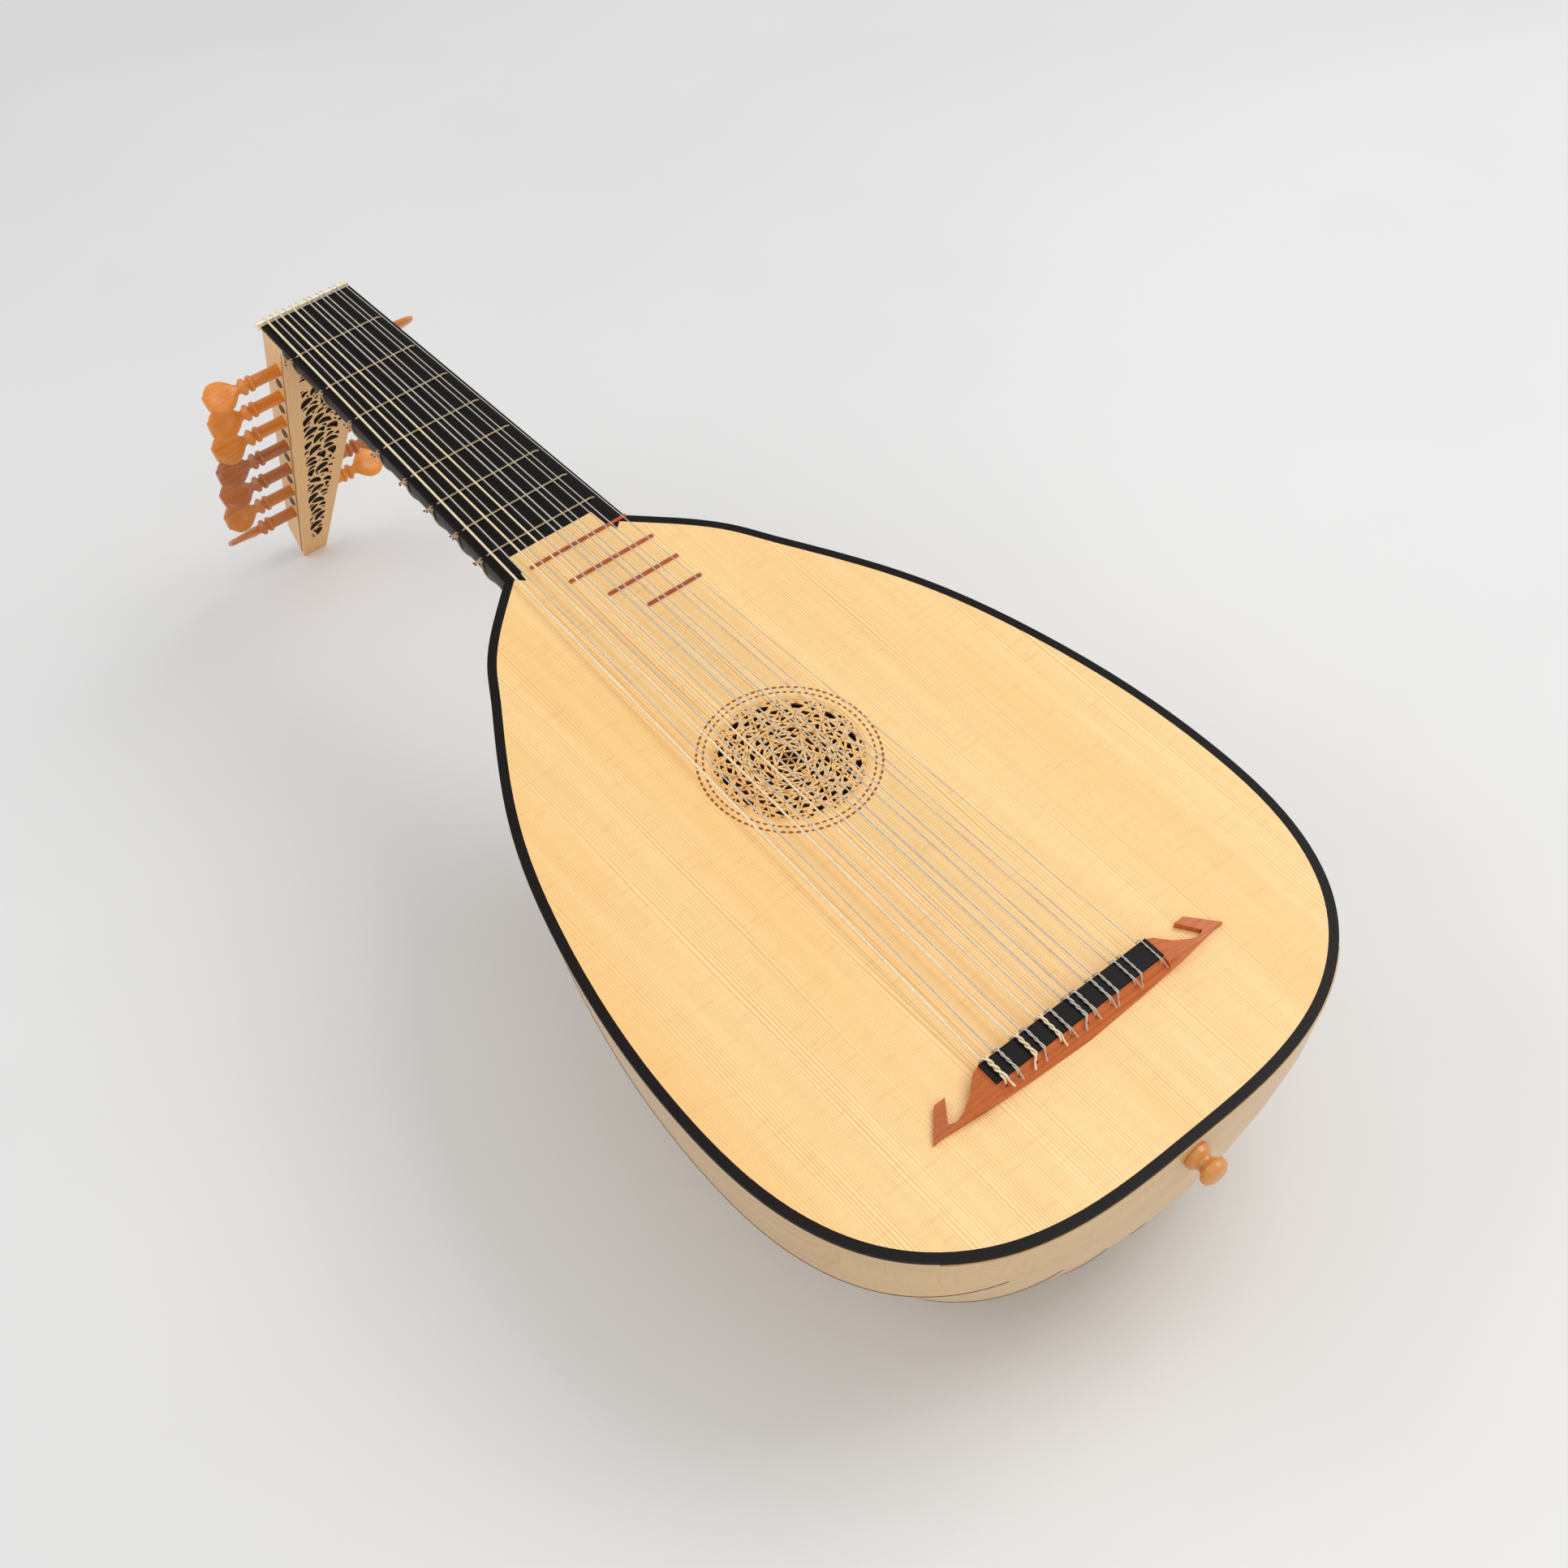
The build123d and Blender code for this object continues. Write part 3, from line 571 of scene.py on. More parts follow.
def looks_out(face, corner, plane):
    """Whether a face belongs to the outside of the bowl, and not to a joint between ribs."""
    outward = face.normal.dot(corner - bowl_centre)
    sideways = face.normal.x * math.sin(plane) + bowl_flat * face.normal.z * math.cos(plane)
    return outward > 1.0 and abs(sideways) < 0.9


def seam_points(number):
    """The outer edge shared by this rib and the next, from tail to neck, kept above the floor."""
    plane = number * math.pi / rib_count
    work = welded_copy(f"rib_{number:02d}")
    work.normal_update()
    found = {}
    for edge in work.edges:
        on_plane = all(abs(rib_angle_of(vert.co) - plane) < 0.004 for vert in edge.verts)
        if on_plane and any(looks_out(face, edge.verts[0].co, plane) for face in edge.link_faces):
            for vert in edge.verts:
                out = math.hypot(vert.co.x, (underside - vert.co.z) / bowl_flat)
                found[round(math.atan2(out, vert.co.y - bowl_middle), 4)] = vert.co.copy()
    work.free()
    line = []
    for key in sorted(found, reverse=True):
        point = to_row @ found[key]
        point.z = max(point.z, 0.001 * seam_radius)
        point = to_maker @ point
        if not line or (point - line[-1]).length > seam_step:
            line.append(point)
    return line


seams = [tube(seam_points(number), seam_radius, 4) for number in range(1, rib_count)]
seam_piece = place_piece("rib_seams", seams, [seam_line])
print("seams", len(seams), "with", len(seam_piece.data.vertices), "corners")

# %% [markdown]
# ## Soundboard with a round place for the rose
# The board is a plate with one round hole, where the rose is let in. Its outline is read from the
# CAD node: the top edges whose two faces meet at a right angle form closed chains, and the longest
# chain is the outside. A Delaunay fill gives the faces, and those inside a hole are left out.

# %% Plates with holes


def chains_at(work, height, tolerance=0.02):
    """Closed chains of sharp edges at one height, each as a list of points."""
    links = {}
    for edge in work.edges:
        level = all(abs(v.co.z - height) < tolerance for v in edge.verts)
        if level and len(edge.link_faces) == 2 and edge.calc_face_angle(0) > 1.0:
            a, b = edge.verts
            links.setdefault(a, []).append(b)
            links.setdefault(b, []).append(a)
    chains = []
    left = set(links)
    while left:
        chain = [left.pop()]
        for way in (0, 1):
            chain.reverse()
            onward = [v for v in links[chain[-1]] if v in left]
            while onward:
                chain.append(onward[0])
                left.discard(onward[0])
                onward = [v for v in links[chain[-1]] if v in left]
        chains.append([v.co.to_2d() for v in chain])
    return chains


def is_inside(ring, x, y):
    """Whether a line from the place to the right crosses the ring an odd number of times."""
    crossings = 0
    for (x1, y1), (x2, y2) in zip(ring, ring[1:] + ring[:1]):
        if (y1 > y) != (y2 > y) and x < x1 + (x2 - x1) * (y - y1) / (y2 - y1):
            crossings += 1
    return crossings % 2 == 1


def pierced_plate(outside, holes, place, name):
    """Plate between two faces; place(point, side) puts a flat point on face 0 or on face 1."""
    rings = [[(p[0], p[1]) for p in ring] for ring in [outside] + holes]
    flat, rims, ring_of = [], [], []
    for number, ring in enumerate(rings):
        first = len(flat)
        flat += [Vector(p) for p in ring]
        ring_of += [number] * len(ring)
        rims += [(first + i, first + (i + 1) % len(ring), number) for i in range(len(ring))]
    edges = [(a, b) for a, b, _ in rims]
    points, _, faces, sources, _, _ = delaunay_2d_cdt(flat, edges, [], 0, 1e-5)
    made_from = {source: i for i, group in enumerate(sources) for source in group}
    owner = {made_from[source]: number for source, number in enumerate(ring_of)}
    work = bmesh.new()
    top = [work.verts.new(place(p, 0)) for p in points]
    under = [work.verts.new(place(p, 1)) for p in points]
    for face in faces:
        owners = {owner[i] for i in face}
        if len(owners) == 1:
            number = owners.pop()
            middle = sum((points[i] for i in face), Vector((0, 0))) / len(face)
            if is_inside(rings[number], *middle) != (number == 0):
                continue
        work.faces.new([top[i] for i in face])
        work.faces.new([under[i] for i in reversed(face)])
    for a, b, number in rims:
        a, b = made_from[a], made_from[b]
        wall = work.faces.new((top[a], top[b], under[b], under[a]))
        wall.material_index = 1 if number else 0
    return as_mesh(work, name)


def level_plate(outside, holes, high, low, name):
    return pierced_plate(outside, holes, lambda p, s: (p[0], p[1], (high, low)[s]), name)


def circle(radius, count, centre=(0.0, 0.0)):
    steps = (2 * math.pi * i / count for i in range(count))
    return [(centre[0] + radius * math.cos(a), centre[1] + radius * math.sin(a)) for a in steps]


rose_y = 182.0
rose_radius = 37.6
board_cad = welded_copy("soundboard")
outlines = {}
for level in (0.0, underside):
    outlines[level] = max(chains_at(board_cad, level), key=len)
board_cad.free()
hole = circle(rose_radius, 120, (0, rose_y))
mid_level = -0.9
upper = level_plate(outlines[0.0], [hole], 0.0, mid_level, "upper")
lower = level_plate(outlines[underside], [hole], mid_level, underside, "lower")
board = place_piece("soundboard_spruce", [upper, lower], [spruce, scorched],
                    replaces=["soundboard"])
print("soundboard outline points", {k: len(v) for k, v in outlines.items()})

# %% [markdown]
# ## Rose
# A lute rose is strapwork: straps that seem to pass over and under each other inside a circle, with
# sixfold symmetry. Every family of straps is one bent line repeated around the centre, so one
# Geometry Nodes tree makes them all: a curve with three control points, instanced on as many points
# as there are repeats, each turned by its index, then given a rectangular section.

# %% Strapwork tree
strap_tree, given, result = new_tree("strapwork", {
    "Repeats": 12, "Start": (-30.0, 10.0, 0.0), "Middle": (0.0, 10.0, 0.0), "End": (30.0, 10.0, 0.0),
    "First turn": 0.0, "Strap width": 1.2, "Strap height": 1.2,
})
line = add(strap_tree, "GeometryNodeCurveQuadraticBezier", {"Resolution": 8})
for label in ("Start", "Middle", "End"):
    join(strap_tree, given.outputs[label], line.inputs[label])
repeats = given.outputs["Repeats"]
places = add(strap_tree, "GeometryNodeMeshLine", {"Offset": (0, 0, 0), "Count": repeats})
around = turned_copies(strap_tree, places.outputs[0], line.outputs[0], repeats,
                       given.outputs["First turn"])
upright = add(strap_tree, "GeometryNodeSetCurveNormal", {0: around}, mode="Z_UP")
sizes = {0: given.outputs["Strap width"], 1: given.outputs["Strap height"]}
profile = add(strap_tree, "GeometryNodeCurvePrimitiveQuadrilateral", sizes, mode="RECTANGLE")
ends = {0: upright.outputs[0], 1: profile.outputs[0], "Fill Caps": True}
swept = add(strap_tree, "GeometryNodeCurveToMesh", ends)
join(strap_tree, two_finishes(strap_tree, swept.outputs[0], rose_wood, scorched), result.inputs[0])


def straps(repeats, start, middle, end, turn=0.0, width=1.2, height=1.1, sink=0.0):
    """One family of straps; the points are in millimetres from the middle of the rose."""
    mesh = grow(strap_tree, {
        "Repeats": repeats, "Start": (*start, 0.0), "Middle": (*middle, 0.0), "End": (*end, 0.0),
        "First turn": math.radians(turn), "Strap width": width, "Strap height": height,
    })
    mesh.transform(Matrix.Translation((0, rose_y, -sink - height / 2)))
    return mesh


def chord(span, radius, turn=0.0, repeats=12, **settings):
    """Straight straps that each cover an angle of the circle."""
    half = math.radians(span / 2)
    a = (-radius * math.sin(half), radius * math.cos(half))
    return straps(repeats, a, (0, a[1]), (-a[0], a[1]), turn, **settings)


def loop_family(reach, belly, turn=0.0, repeats=12, **settings):
    """Bent straps, like petals, whose ends stand on the rim."""
    half = math.radians(reach / 2)
    r = rose_radius
    a = (-r * math.sin(half), r * math.cos(half))
    return straps(repeats, a, (0, belly), (-a[0], a[1]), turn, **settings)


families = [
    chord(120, rose_radius, width=1.4, sink=0.12),
    chord(96, rose_radius, turn=15, width=1.2, sink=0.3),
    chord(150, rose_radius, turn=7.5, width=0.9, sink=0.45),
    chord(134, rose_radius, width=0.9, sink=0.4),
    chord(56, rose_radius, width=1.1, sink=0.2),
    chord(36, rose_radius, turn=15, width=1.0, sink=0.34),
    loop_family(24, 24, turn=0, width=1.0, sink=0.25),
    chord(120, 14.4, repeats=6, width=1.2, sink=0.15),
    chord(120, 8.6, repeats=6, turn=30, width=1.0, sink=0.28),
    chord(180, 20.0, repeats=6, turn=30, width=0.9, sink=0.5),
]
print("strap families", len(families), "triangles", sum(len(m.polygons) for m in families) * 2)

# %% Rings of the rose
ring_meshes = []
for radius, width in ((36.9, 1.7), (30.2, 1.0), (21.4, 1.0), (12.2, 0.9)):
    outer = circle(radius + width / 2, 96, (0, rose_y))
    inner = circle(radius - width / 2, 96, (0, rose_y))
    drop = 0.1 if radius > 35 else 0.34
    ring_meshes.append(level_plate(outer, [inner], -drop, -1.2, "ring"))
rose = place_piece("rose", families + ring_meshes, [rose_wood, scorched])
print("rose triangles", sum(len(p.vertices) - 2 for p in rose.data.polygons))

# %% [markdown]
# ## Punched border
# Two rings of short dashes surround the rose, pressed into the wood with a hot tool. Each dash is a
# low, rounded chip, repeated around a circle by Geometry Nodes and set almost flush in the board.

# %% Border tree
dash_tree, given, result = new_tree("dashes", {"Dashes": 72, "Radius": 43.4, "Long": 2.0, "Wide": 0.6})
dashes = given.outputs["Dashes"]
path_size = {"Vertices": dashes, "Radius": given.outputs["Radius"]}
round_path = add(dash_tree, "GeometryNodeMeshCircle", path_size)
chip = add(dash_tree, "GeometryNodeMeshUVSphere", {"Segments": 8, "Rings": 4, "Radius": 0.5})
chip_size = {"X": given.outputs["Wide"], "Y": given.outputs["Long"], "Z": 0.08}
size = add(dash_tree, "ShaderNodeCombineXYZ", chip_size)
chips = turned_copies(dash_tree, round_path.outputs[0], chip.outputs[0], dashes,
                      scale=size.outputs[0])
join(dash_tree, finished(dash_tree, chips, scorched), result.inputs[0])
borders = []
for count, radius, long, wide in ((78, 43.4, 2.7, 1.35), (74, 40.3, 2.4, 1.2)):
    numbers = {"Dashes": count, "Radius": radius, "Long": long, "Wide": wide}
    borders.append(grow(dash_tree, numbers))
    borders[-1].transform(Matrix.Translation((0, rose_y, 0)))
border = place_piece("rose_border", borders, [scorched])
print("border rings", len(borders), "corners", len(border.data.vertices))

# %% [markdown]
# ## Courses of strings
# Six pairs and one single string run from the bridge over the nut to the pegs. Each starts as a tie
# on the bridge: through its hole, up behind the cap, back over the cap, round itself in front, and
# back again twisted round its own first pass, with a short tail left lying on the slope behind.

# %% String sizes
bridge_x = (-42.0, -25.4, -10.9, 4.0, 18.0, 32.4, 46.6)
nut_x = (-22.1, -13.9, -5.6, 3.4, 11.1, 19.4, 25.2)
pair_at_bridge = (6.8, 5.2, 5.6, 4.6, 4.7, 4.4, 0.0)
pair_at_nut = (4.2, 3.9, 3.8, 3.1, 2.9, 2.7, 0.0)
thick_gut = (0.66, 0.60, 0.54, 0.46, 0.38, 0.31, 0.25)
thin_gut = (0.42, 0.40, 0.38, 0.42, 0.36, 0.30, 0.25)
rows = []
for course in range(7):
    for half, radii in ((-0.5, thick_gut), (0.5, thin_gut)):
        if course == 6 and half > 0:
            continue
        shift_bridge = half * pair_at_bridge[course]
        shift_nut = half * pair_at_nut[course]
        rows.append((bridge_x[course] + shift_bridge, nut_x[course] + shift_nut, radii[course]))
order = sorted(range(13), key=lambda i: -abs(rows[i][1]))
peg_of = {string: peg for peg, string in enumerate(order)}
print("strings", len(rows), "peg of each", [peg_of[i] + 1 for i in range(13)])

# %% Pegbox places
pegbox_length = 248.0
half_root, half_tip = 28.3, 8.4
depth_root, depth_tip = 20.9, 17.6
peg_first, peg_pitch, peg_back = 23.6, 14.375, 7.6
down = (math.sin(lean), -math.cos(lean))
front = (math.cos(lean), math.sin(lean))


def pegbox_half(along):
    return half_root + (half_tip - half_root) * along / pegbox_length


def pegbox_depth(along):
    return depth_root + (depth_tip - depth_root) * along / pegbox_length


def pegbox_point(x, along, behind):
    y = string_length - 0.2 + along * down[0] - behind * front[0]
    return Vector((x, y, underside + along * down[1] - behind * front[1]))


def peg_along(number):
    return peg_first + peg_pitch * number


def peg_centre(number):
    along = peg_along(number)
    return pegbox_point(0, along, pegbox_depth(along) - peg_back)


print("first peg", peg_centre(0), "last peg", peg_centre(12))

# %% Strings with their ties
cap_front, cap_rear, cap_top, hole_height = 2.5, -9.0, 8.6, 5.0
wound_at = 3.45
peg_spread = 0.72


def helix(x, start, stop, height, radius, turns, phase, steps=26):
    """A strand that turns round a level line between two places along the string."""
    line = []
    for i in range(steps + 1):
        t = i / steps
        angle = phase + 2 * math.pi * turns * t
        rise = height + radius * math.sin(angle)
        line.append((x + radius * math.cos(angle), start + (stop - start) * t, rise))
    return line


def tie_points(x, r, lean_tail):
    """The bridge tie, from the tail end to the front of the hole."""
    crest = cap_top + 2.1 * r
    low = hole_height - 2.3 * r
    tail = [
        (x + 3.9 * lean_tail, cap_rear - 4.3, 4.3 + r), (x + 2.8 * lean_tail, cap_rear - 2.9, 5.9 + r),
        (x + 1.6 * lean_tail, cap_rear - 1.6, cap_top - 0.9 + r), (x + 1.4 * r, cap_rear - 0.5, crest),
    ]
    over = helix(x, cap_rear + 0.4, cap_front - 0.3, crest, 1.05 * r, 1.5, 0.0)
    noose = [
        (x - 1.6 * r, cap_front + 0.9, crest - 0.8), (x - 2.3 * r, cap_front + 1.7, hole_height + 1.2),
        (x - 1.4 * r, cap_front + 2.3, low), (x + 1.4 * r, cap_front + 2.3, low),
        (x + 2.3 * r, cap_front + 1.7, hole_height + 1.2), (x + 1.6 * r, cap_front + 0.9, crest - 0.8),
    ]
    back = helix(x, cap_front - 0.3, cap_rear + 0.4, crest, 1.05 * r, -1.5, math.pi * 4)
    drop = [
        (x - 0.6 * r, cap_rear - 0.7, crest - 0.3), (x - 0.2 * r, cap_rear - 1.5, cap_top - 1.6),
        (x, cap_rear - 1.2, hole_height), (x, cap_rear + 0.6, hole_height),
    ]
    return tail, over, noose, back, drop


def string_line(index):
    x_bridge, x_nut, r = rows[index]
    along = peg_along(peg_of[index])
    reach = pegbox_depth(along) - peg_back - wound_at - r
    peg_end = pegbox_point(peg_spread * x_nut, along, reach)
    start = Vector((x_bridge, cap_rear + 0.6, hole_height))
    hole_front = Vector((x_bridge, cap_front + 1.5, hole_height))
    on_nut = Vector((x_nut, string_length, 2.4 - 0.3 * r))
    past_nut = Vector((0.995 * x_nut, string_length + 3.8 + r, 1.1))
    bend = 0.004
    span = [start, hole_front]
    span += [hole_front.lerp(on_nut, t) for t in (bend, 0.33, 0.66, 1 - bend)] + [on_nut]
    return span + [past_nut, past_nut.lerp(peg_end, 0.03), past_nut.lerp(peg_end, 0.5), peg_end]


def gut_of(index):
    """Only the first string of the three lowest courses is thick and pale."""
    return thick_gut_finish if index in (0, 2, 4) else clear_gut_finish


def make_string(index):
    x, _, r = rows[index]
    side = random.Random(40 + index).choice((-1, 1)) * random.Random(index).uniform(0.2, 0.75)
    tail, over, noose, back, drop = tie_points(x, r, side)
    tie = rounded([*tail, *over[::2], *noose, *back[::2], *drop], steps=4)
    body = tube(string_line(index), r, 12)
    node = f"string_{index + 1:02d}"
    return place_piece(f"{node}_gut", [body, tube(tie, 0.86 * r, 8)], [gut_of(index)],
                       replaces=[node], crisp=60)


strings = [make_string(index) for index in range(13)]
print("strings made", len(strings))

# %% [markdown]
# ## Tied frets
# A lute's frets are loops of gut tied round the neck. Each loop follows the neck's section: straight
# over the fingerboard and a half ellipse round the back. Geometry Nodes turn the eight closed paths
# into round gut. The knot sits on the bass edge, with two short ends whose tips are sealed by a flame.

# %% Fret tree
gut_tree, given, result = new_tree("gut_loop", {"Gut radius": 0.5})
as_curve = add(gut_tree, "GeometryNodeMeshToCurve", {0: given.outputs["Geometry"]})
section_size = {"Resolution": 10, "Radius": given.outputs["Gut radius"]}
section = add(gut_tree, "GeometryNodeCurvePrimitiveCircle", section_size)
ends = {0: as_curve.outputs[0], 1: section.outputs[0]}
swept = add(gut_tree, "GeometryNodeCurveToMesh", ends)
real = add(gut_tree, "GeometryNodeRealizeInstances", {0: swept.outputs[0]})
join(gut_tree, finished(gut_tree, real.outputs[0], fret_gut_finish), result.inputs[0])
neck_start, neck_length = 357.5, 242.5
neck_half_start, neck_half_nut, neck_depth_nut = 37.2, 28.3, 22.0


def neck_half(y):
    return neck_half_start + (neck_half_nut - neck_half_start) * (y - neck_start) / neck_length


def neck_depth(y):
    deep = bowl_flat * neck_half_start
    return deep + (neck_depth_nut + underside - deep) * (y - neck_start) / neck_length


def fret_path(y, gap=0.55):
    half = neck_half(y) + gap
    deep = neck_depth(y) + gap
    path = [(half * (1 - i / 6), y, gap) for i in range(1, 12)]
    for i in range(41):
        angle = math.pi * (1 + i / 40)
        path.append((half * math.cos(angle), y, underside + deep * math.sin(angle)))
    return path


fret_places = [string_length * 2 ** (-n / 12) for n in range(1, 9)]
loops = bmesh.new()
for y in fret_places:
    verts = [loops.verts.new(p) for p in fret_path(y)]
    for a, b in zip(verts, verts[1:] + verts[:1]):
        loops.edges.new((a, b))
loop_mesh = bpy.data.meshes.new("fret_paths")
loops.to_mesh(loop_mesh)
loops.free()
fret_gut_mesh = grow(gut_tree, {"Gut radius": 0.5}, loop_mesh)
print("fret loops", len(fret_places), "corners", len(fret_gut_mesh.vertices))

# %% Fret knots


def knot_points(y):
    """Two turns of gut round the loop at the bass edge."""
    x = -neck_half(y) - 0.6
    return [
        (x + 1.0 * math.cos(a), y + 0.95 * math.sin(a), -0.3 - 2.0 * i / 26)
        for i, a in enumerate(2 * math.pi * 2.25 * k / 26 for k in range(27))
    ]


def fret_ends(y, seed):
    wander = random.Random(seed)
    x = -neck_half(y) - 1.0
    ends = []
    for way in (-1, 1):
        reach = wander.uniform(2.2, 3.6)
        tip_at = (x - reach, y + way * wander.uniform(0.6, 1.4), -0.6 - wander.uniform(0, 1.2))
        ends.append(((x, y + 0.5 * way, -1.0), tip_at))
    return ends


def burnt_bead(centre, radius):
    work = bmesh.new()
    bmesh.ops.create_icosphere(work, subdivisions=2, radius=radius)
    bmesh.ops.translate(work, verts=work.verts, vec=centre)
    return as_mesh(work, "bead")


knots, beads = [], []
for number, y in enumerate(fret_places):
    knots.append(tube(rounded(knot_points(y), steps=3), 0.42, 8))
    for start, end in fret_ends(y, 70 + number):
        middle = tuple((a + b) / 2 + c for a, b, c in zip(start, end, (0, 0, 0.4)))
        knots.append(tube(rounded([start, middle, end], steps=5), 0.42, 8))
        beads.append(burnt_bead(end, 0.62))
frets = place_piece("tied_frets_gut", [fret_gut_mesh, *knots], [fret_gut_finish],
                    replaces=["tied_frets"], crisp=60)
bead_piece = place_piece("fret_burnt_ends", beads, [burnt_gut], crisp=60)
print("knots", len(fret_places), "burnt ends", len(beads))

# %% [markdown]
# ## Carved pegbox back
# The back of the pegbox is pierced all over with leaves. The openings grow where there is room: leaf
# shapes follow a waving stem, large ones are tried first, and any that would touch a neighbour or
# the margin is left out. A fixed seed gives the same carving every time.

# %% Leaf openings
carving = random.Random(7)


def field_half(along):
    """Half width of the carved field."""
    return 18.7 + (4.2 - 18.7) * (along - 24) / (229 - 24)


def leaf(u, s, long, wide, angle, hook, corners=48):
    """Outline of a leaf opening that bends to one side, in the panel's own plane."""
    c, d = math.cos(angle), math.sin(angle)
    edge = []
    for i in range(corners):
        a = 2 * math.pi * i / corners
        x = long / 2 * math.cos(a)
        y = wide / 2 * math.sin(a) * (1.15 - 0.6 * math.cos(a)) + hook * (x * x / long - long / 8)
        edge.append((u + x * c - y * d, s + x * d + y * c))
    return edge


def clear_of(edge, middle, long, others, gap):
    """Whether a leaf keeps a bridge of wood between itself and every leaf already there."""
    for ring, centre, size in others:
        if math.dist(middle, centre) > (size + long) / 2 + 2 * gap + 1:
            continue
        spans = np.array(edge)[:, None] - np.array(ring)[None]
        if np.hypot(spans[..., 0], spans[..., 1]).min() < gap or is_inside(ring, *middle):
            return False
    return True


def inside_field(edge):
    for u, s in edge:
        top_part = 25 < s < 34
        main_part = 44 < s < 229
        if not (top_part or main_part) or abs(u) > field_half(s) - 0.2:
            return False
    return True


wood_between = 0.68
openings = []
for long, tries in ((10.5, 260), (8.0, 700), (6.0, 1400), (4.2, 2600), (2.8, 3400)):
    for _ in range(tries):
        s = carving.uniform(25, 228)
        u = carving.uniform(-1, 1) * field_half(s)
        stem = 0.42 * field_half(s) * math.sin(s / 5.2)
        side = 1 if u > stem else -1
        angle = math.pi / 2 - side * 0.85 + 0.5 * math.cos(s / 5.2) + carving.uniform(-0.5, 0.5)
        wide = long * carving.uniform(0.4, 0.52)
        edge = leaf(u, s, long, wide, angle, side * carving.uniform(0.3, 0.9))
        if inside_field(edge) and clear_of(edge, (u, s), long, openings, wood_between):
            openings.append((edge, (u, s), long))
print("leaf openings", len(openings))

# %% Pierced panel
panel_start = -6.5
panel_thickness = 2.4


def panel_place(point, face):
    u, s = point[0], point[1]
    if face == 1:
        s -= 2.1 * (s - panel_start) / (pegbox_length - panel_start)
    return pegbox_point(u, s, pegbox_depth(s) - (0.0, panel_thickness)[face])


panel_edge = [(-pegbox_half(s), s) for s in (panel_start, 80, 160, pegbox_length)]
panel_edge += [(-u, s) for u, s in reversed(panel_edge)]
leaves = [edge[::3] for edge, _, _ in openings]
panel_mesh = pierced_plate(panel_edge, leaves, panel_place, "carved_plate")
# The walls of the leaf openings take the near-black painted shade of the pegbox's dark inside.
panel = place_piece("pegbox_panel_carved", [panel_mesh], [pegbox_wood, pegbox_opening_shade],
                    replaces=["pegbox_panel"])
print("panel triangles", sum(len(p.vertices) - 2 for p in panel_mesh.polygons))

# %% Dark line between the cheeks and the carved back
lines = []
for way in (-1, 1):
    points = []
    for s in (0, 80, 160, 244):
        behind = pegbox_depth(s) - panel_thickness
        points.append(pegbox_point(way * (pegbox_half(s) + 0.02), s, behind))
    lines.append(tube(points, 0.22, 4))
glue_line = place_piece("pegbox_glue_line", lines, [seam_line])
print("glue lines", len(lines))

# %% [markdown]
# ## Pegs
# A lute peg is turned on a lathe and its head is then cut flat. The shank is a profile spun round its
# axis. The head is a loft: rings of twenty points whose half width follows the heart-like outline
# and whose half thickness thins to the rim, a little hollow in the middle where the fingers press.

# %% Peg shape
peg_turns = (-12, 84, 10, 30, -6, -25, 14, 48, -16, -20, 6, -8, 88)
rest_turn = 46
cheek = 4.0
shank_wide, shank_narrow = 3.6, 3.0
reach_out = {-1: 46.0, 1: 37.5}
head_long, head_root = 19.0, 1.1
head_outline = ((0.0, 2.6, 2.6), (0.08, 3.6, 2.9), (0.18, 5.8, 3.1), (0.30, 7.9, 3.1), (0.42, 9.1, 3.0),
                (0.58, 9.5, 2.8), (0.72, 9.1, 2.5), (0.84, 7.4, 2.2), (0.94, 5.2, 1.9), (1.0, 4.3, 1.5))


def lofted(rings, name):
    """A closed skin over rings that all have the same number of points."""
    work = bmesh.new()
    loops = [[work.verts.new(point) for point in ring] for ring in rings]
    for ring, after in zip(loops, loops[1:]):
        for i in range(len(ring)):
            k = (i + 1) % len(ring)
            work.faces.new((ring[i], ring[k], after[k], after[i]))
    work.faces.new(loops[0])
    work.faces.new(loops[-1])
    return as_mesh(work, name)


def spun(profile, sides, name):
    """A shape turned on a lathe, along x: points are (place, radius)."""
    rings = []
    for place, radius in profile:
        turns = (2 * math.pi * i / sides for i in range(sides))
        rings.append([(place, radius * math.cos(a), radius * math.sin(a)) for a in turns])
    return lofted(rings, name)


def peg_head(start, length, sides=20):
    rings = []
    for t, half_wide, half_thick in head_outline:
        ring = []
        for i in range(sides):
            a = 2 * math.pi * i / sides
            across, rise = math.cos(a), math.sin(a)
            hollow = 1 - 0.34 * math.exp(-((across / 0.55) ** 2 + ((t - 0.58) / 0.26) ** 2))
            shape = math.copysign(abs(rise) ** 0.8, rise)
            ring.append((start + t * length, half_wide * across, half_thick * shape * hollow))
        rings.append(ring)
    return lofted(rings, "peg_head")


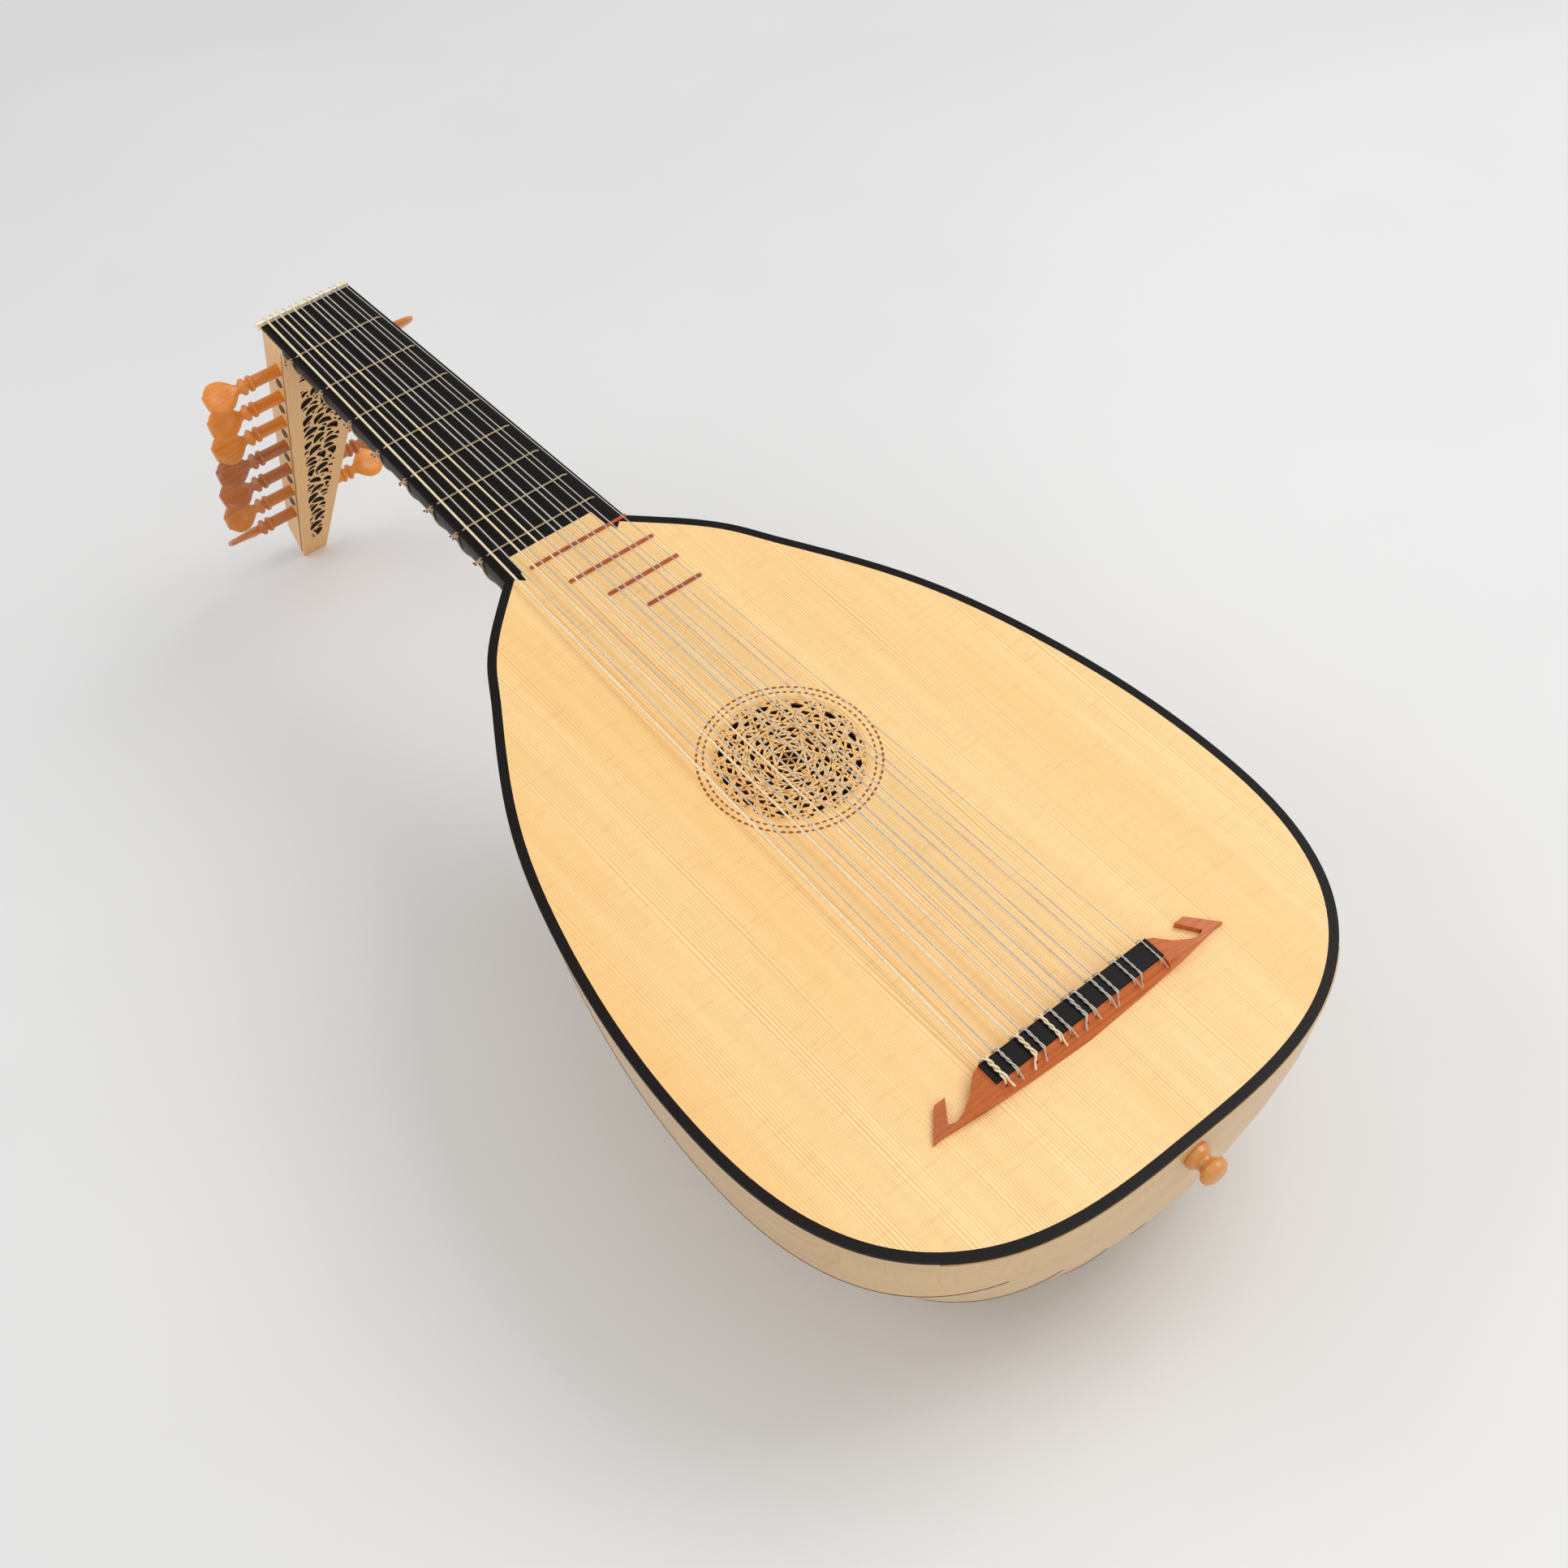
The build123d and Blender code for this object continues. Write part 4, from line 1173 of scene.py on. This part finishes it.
def peg_profile(wall, head_start):
    """Places and radii along the shank, from its far end to the root of the head."""
    inner = wall - cheek
    beads = ((-10.4, 3.6), (-10.0, 4.5), (-9.0, 4.8), (-8.0, 4.4), (-7.5, 3.2), (-6.7, 3.0), (-6.0, 3.3),
             (-5.4, 4.7), (-4.4, 5.0), (-3.5, 4.6), (-2.8, 3.5), (-1.8, 2.9), (-0.6, 2.6))
    ends = ((-wall - 0.8, 0.8), (-wall - 0.8, 2.5), (-wall - 0.4, shank_narrow),
            (-inner + 0.5, shank_narrow), (inner - 0.5, shank_wide), (wall + 4, shank_wide))
    return [*ends, *((head_start + a, b) for a, b in beads)]


def make_peg(number):
    wall = pegbox_half(peg_along(number))
    side = -1 if number % 2 == 0 else 1
    head_start = wall + reach_out[side] - head_long
    shank = spun(peg_profile(wall, head_start), 28, "shank")
    for face in shank.polygons:
        face.material_index = 1 if face.center.x < -wall else 0
    head = peg_head(head_start - head_root, head_long + head_root)
    name = f"peg_{number + 1:02d}"
    mesh = gather([shank, head], name)
    if side < 0:
        mesh.transform(Matrix.Rotation(math.pi, 4, "Z"))
    mesh.transform(Matrix.Rotation(math.radians(rest_turn + peg_turns[number]), 4, "X"))
    mesh.transform(Matrix.Translation(peg_centre(number)))
    finishes = [peg_finish[number + 1], peg_tip]
    return place_piece(f"{name}_turned", [mesh], finishes, body=name, replaces=[name],
                       crisp=38)


pegs = [make_peg(number) for number in range(13)]
print("pegs", len(pegs), "triangles each", sum(len(p.vertices) - 2 for p in pegs[0].data.polygons))

# %% [markdown]
# ## Windings
# Inside the pegbox every string is wound round its own peg. A winding is a coil of four and a half
# turns, side by side, that starts where the string arrives. It rides on the peg and turns with it.

# %% Windings


def make_winding(index, turns=4.5, steps=14):
    number = peg_of[index]
    _, x_nut, r = rows[index]
    centre = peg_centre(number)
    arrival = math.atan2(front[1], front[0])
    has_room = abs(peg_spread * x_nut) < pegbox_half(peg_along(number)) - 12
    side = -1 if number % 2 == 0 else 1
    way = side if has_room else -math.copysign(1, x_nut)
    reach = 3.35 + r
    coil = []
    for i in range(int(turns * steps) + 1):
        a = arrival - 2 * math.pi * i / steps
        x = peg_spread * x_nut + way * 2.1 * r * i / steps
        coil.append((x, centre.y + reach * math.cos(a), centre.z + reach * math.sin(a)))
    return place_piece(f"winding_{number + 1:02d}", [tube(coil, r, 8)], [gut_of(index)],
                       body=f"peg_{number + 1:02d}", crisp=60)


windings = [make_winding(index) for index in range(13)]
print("windings", len(windings))
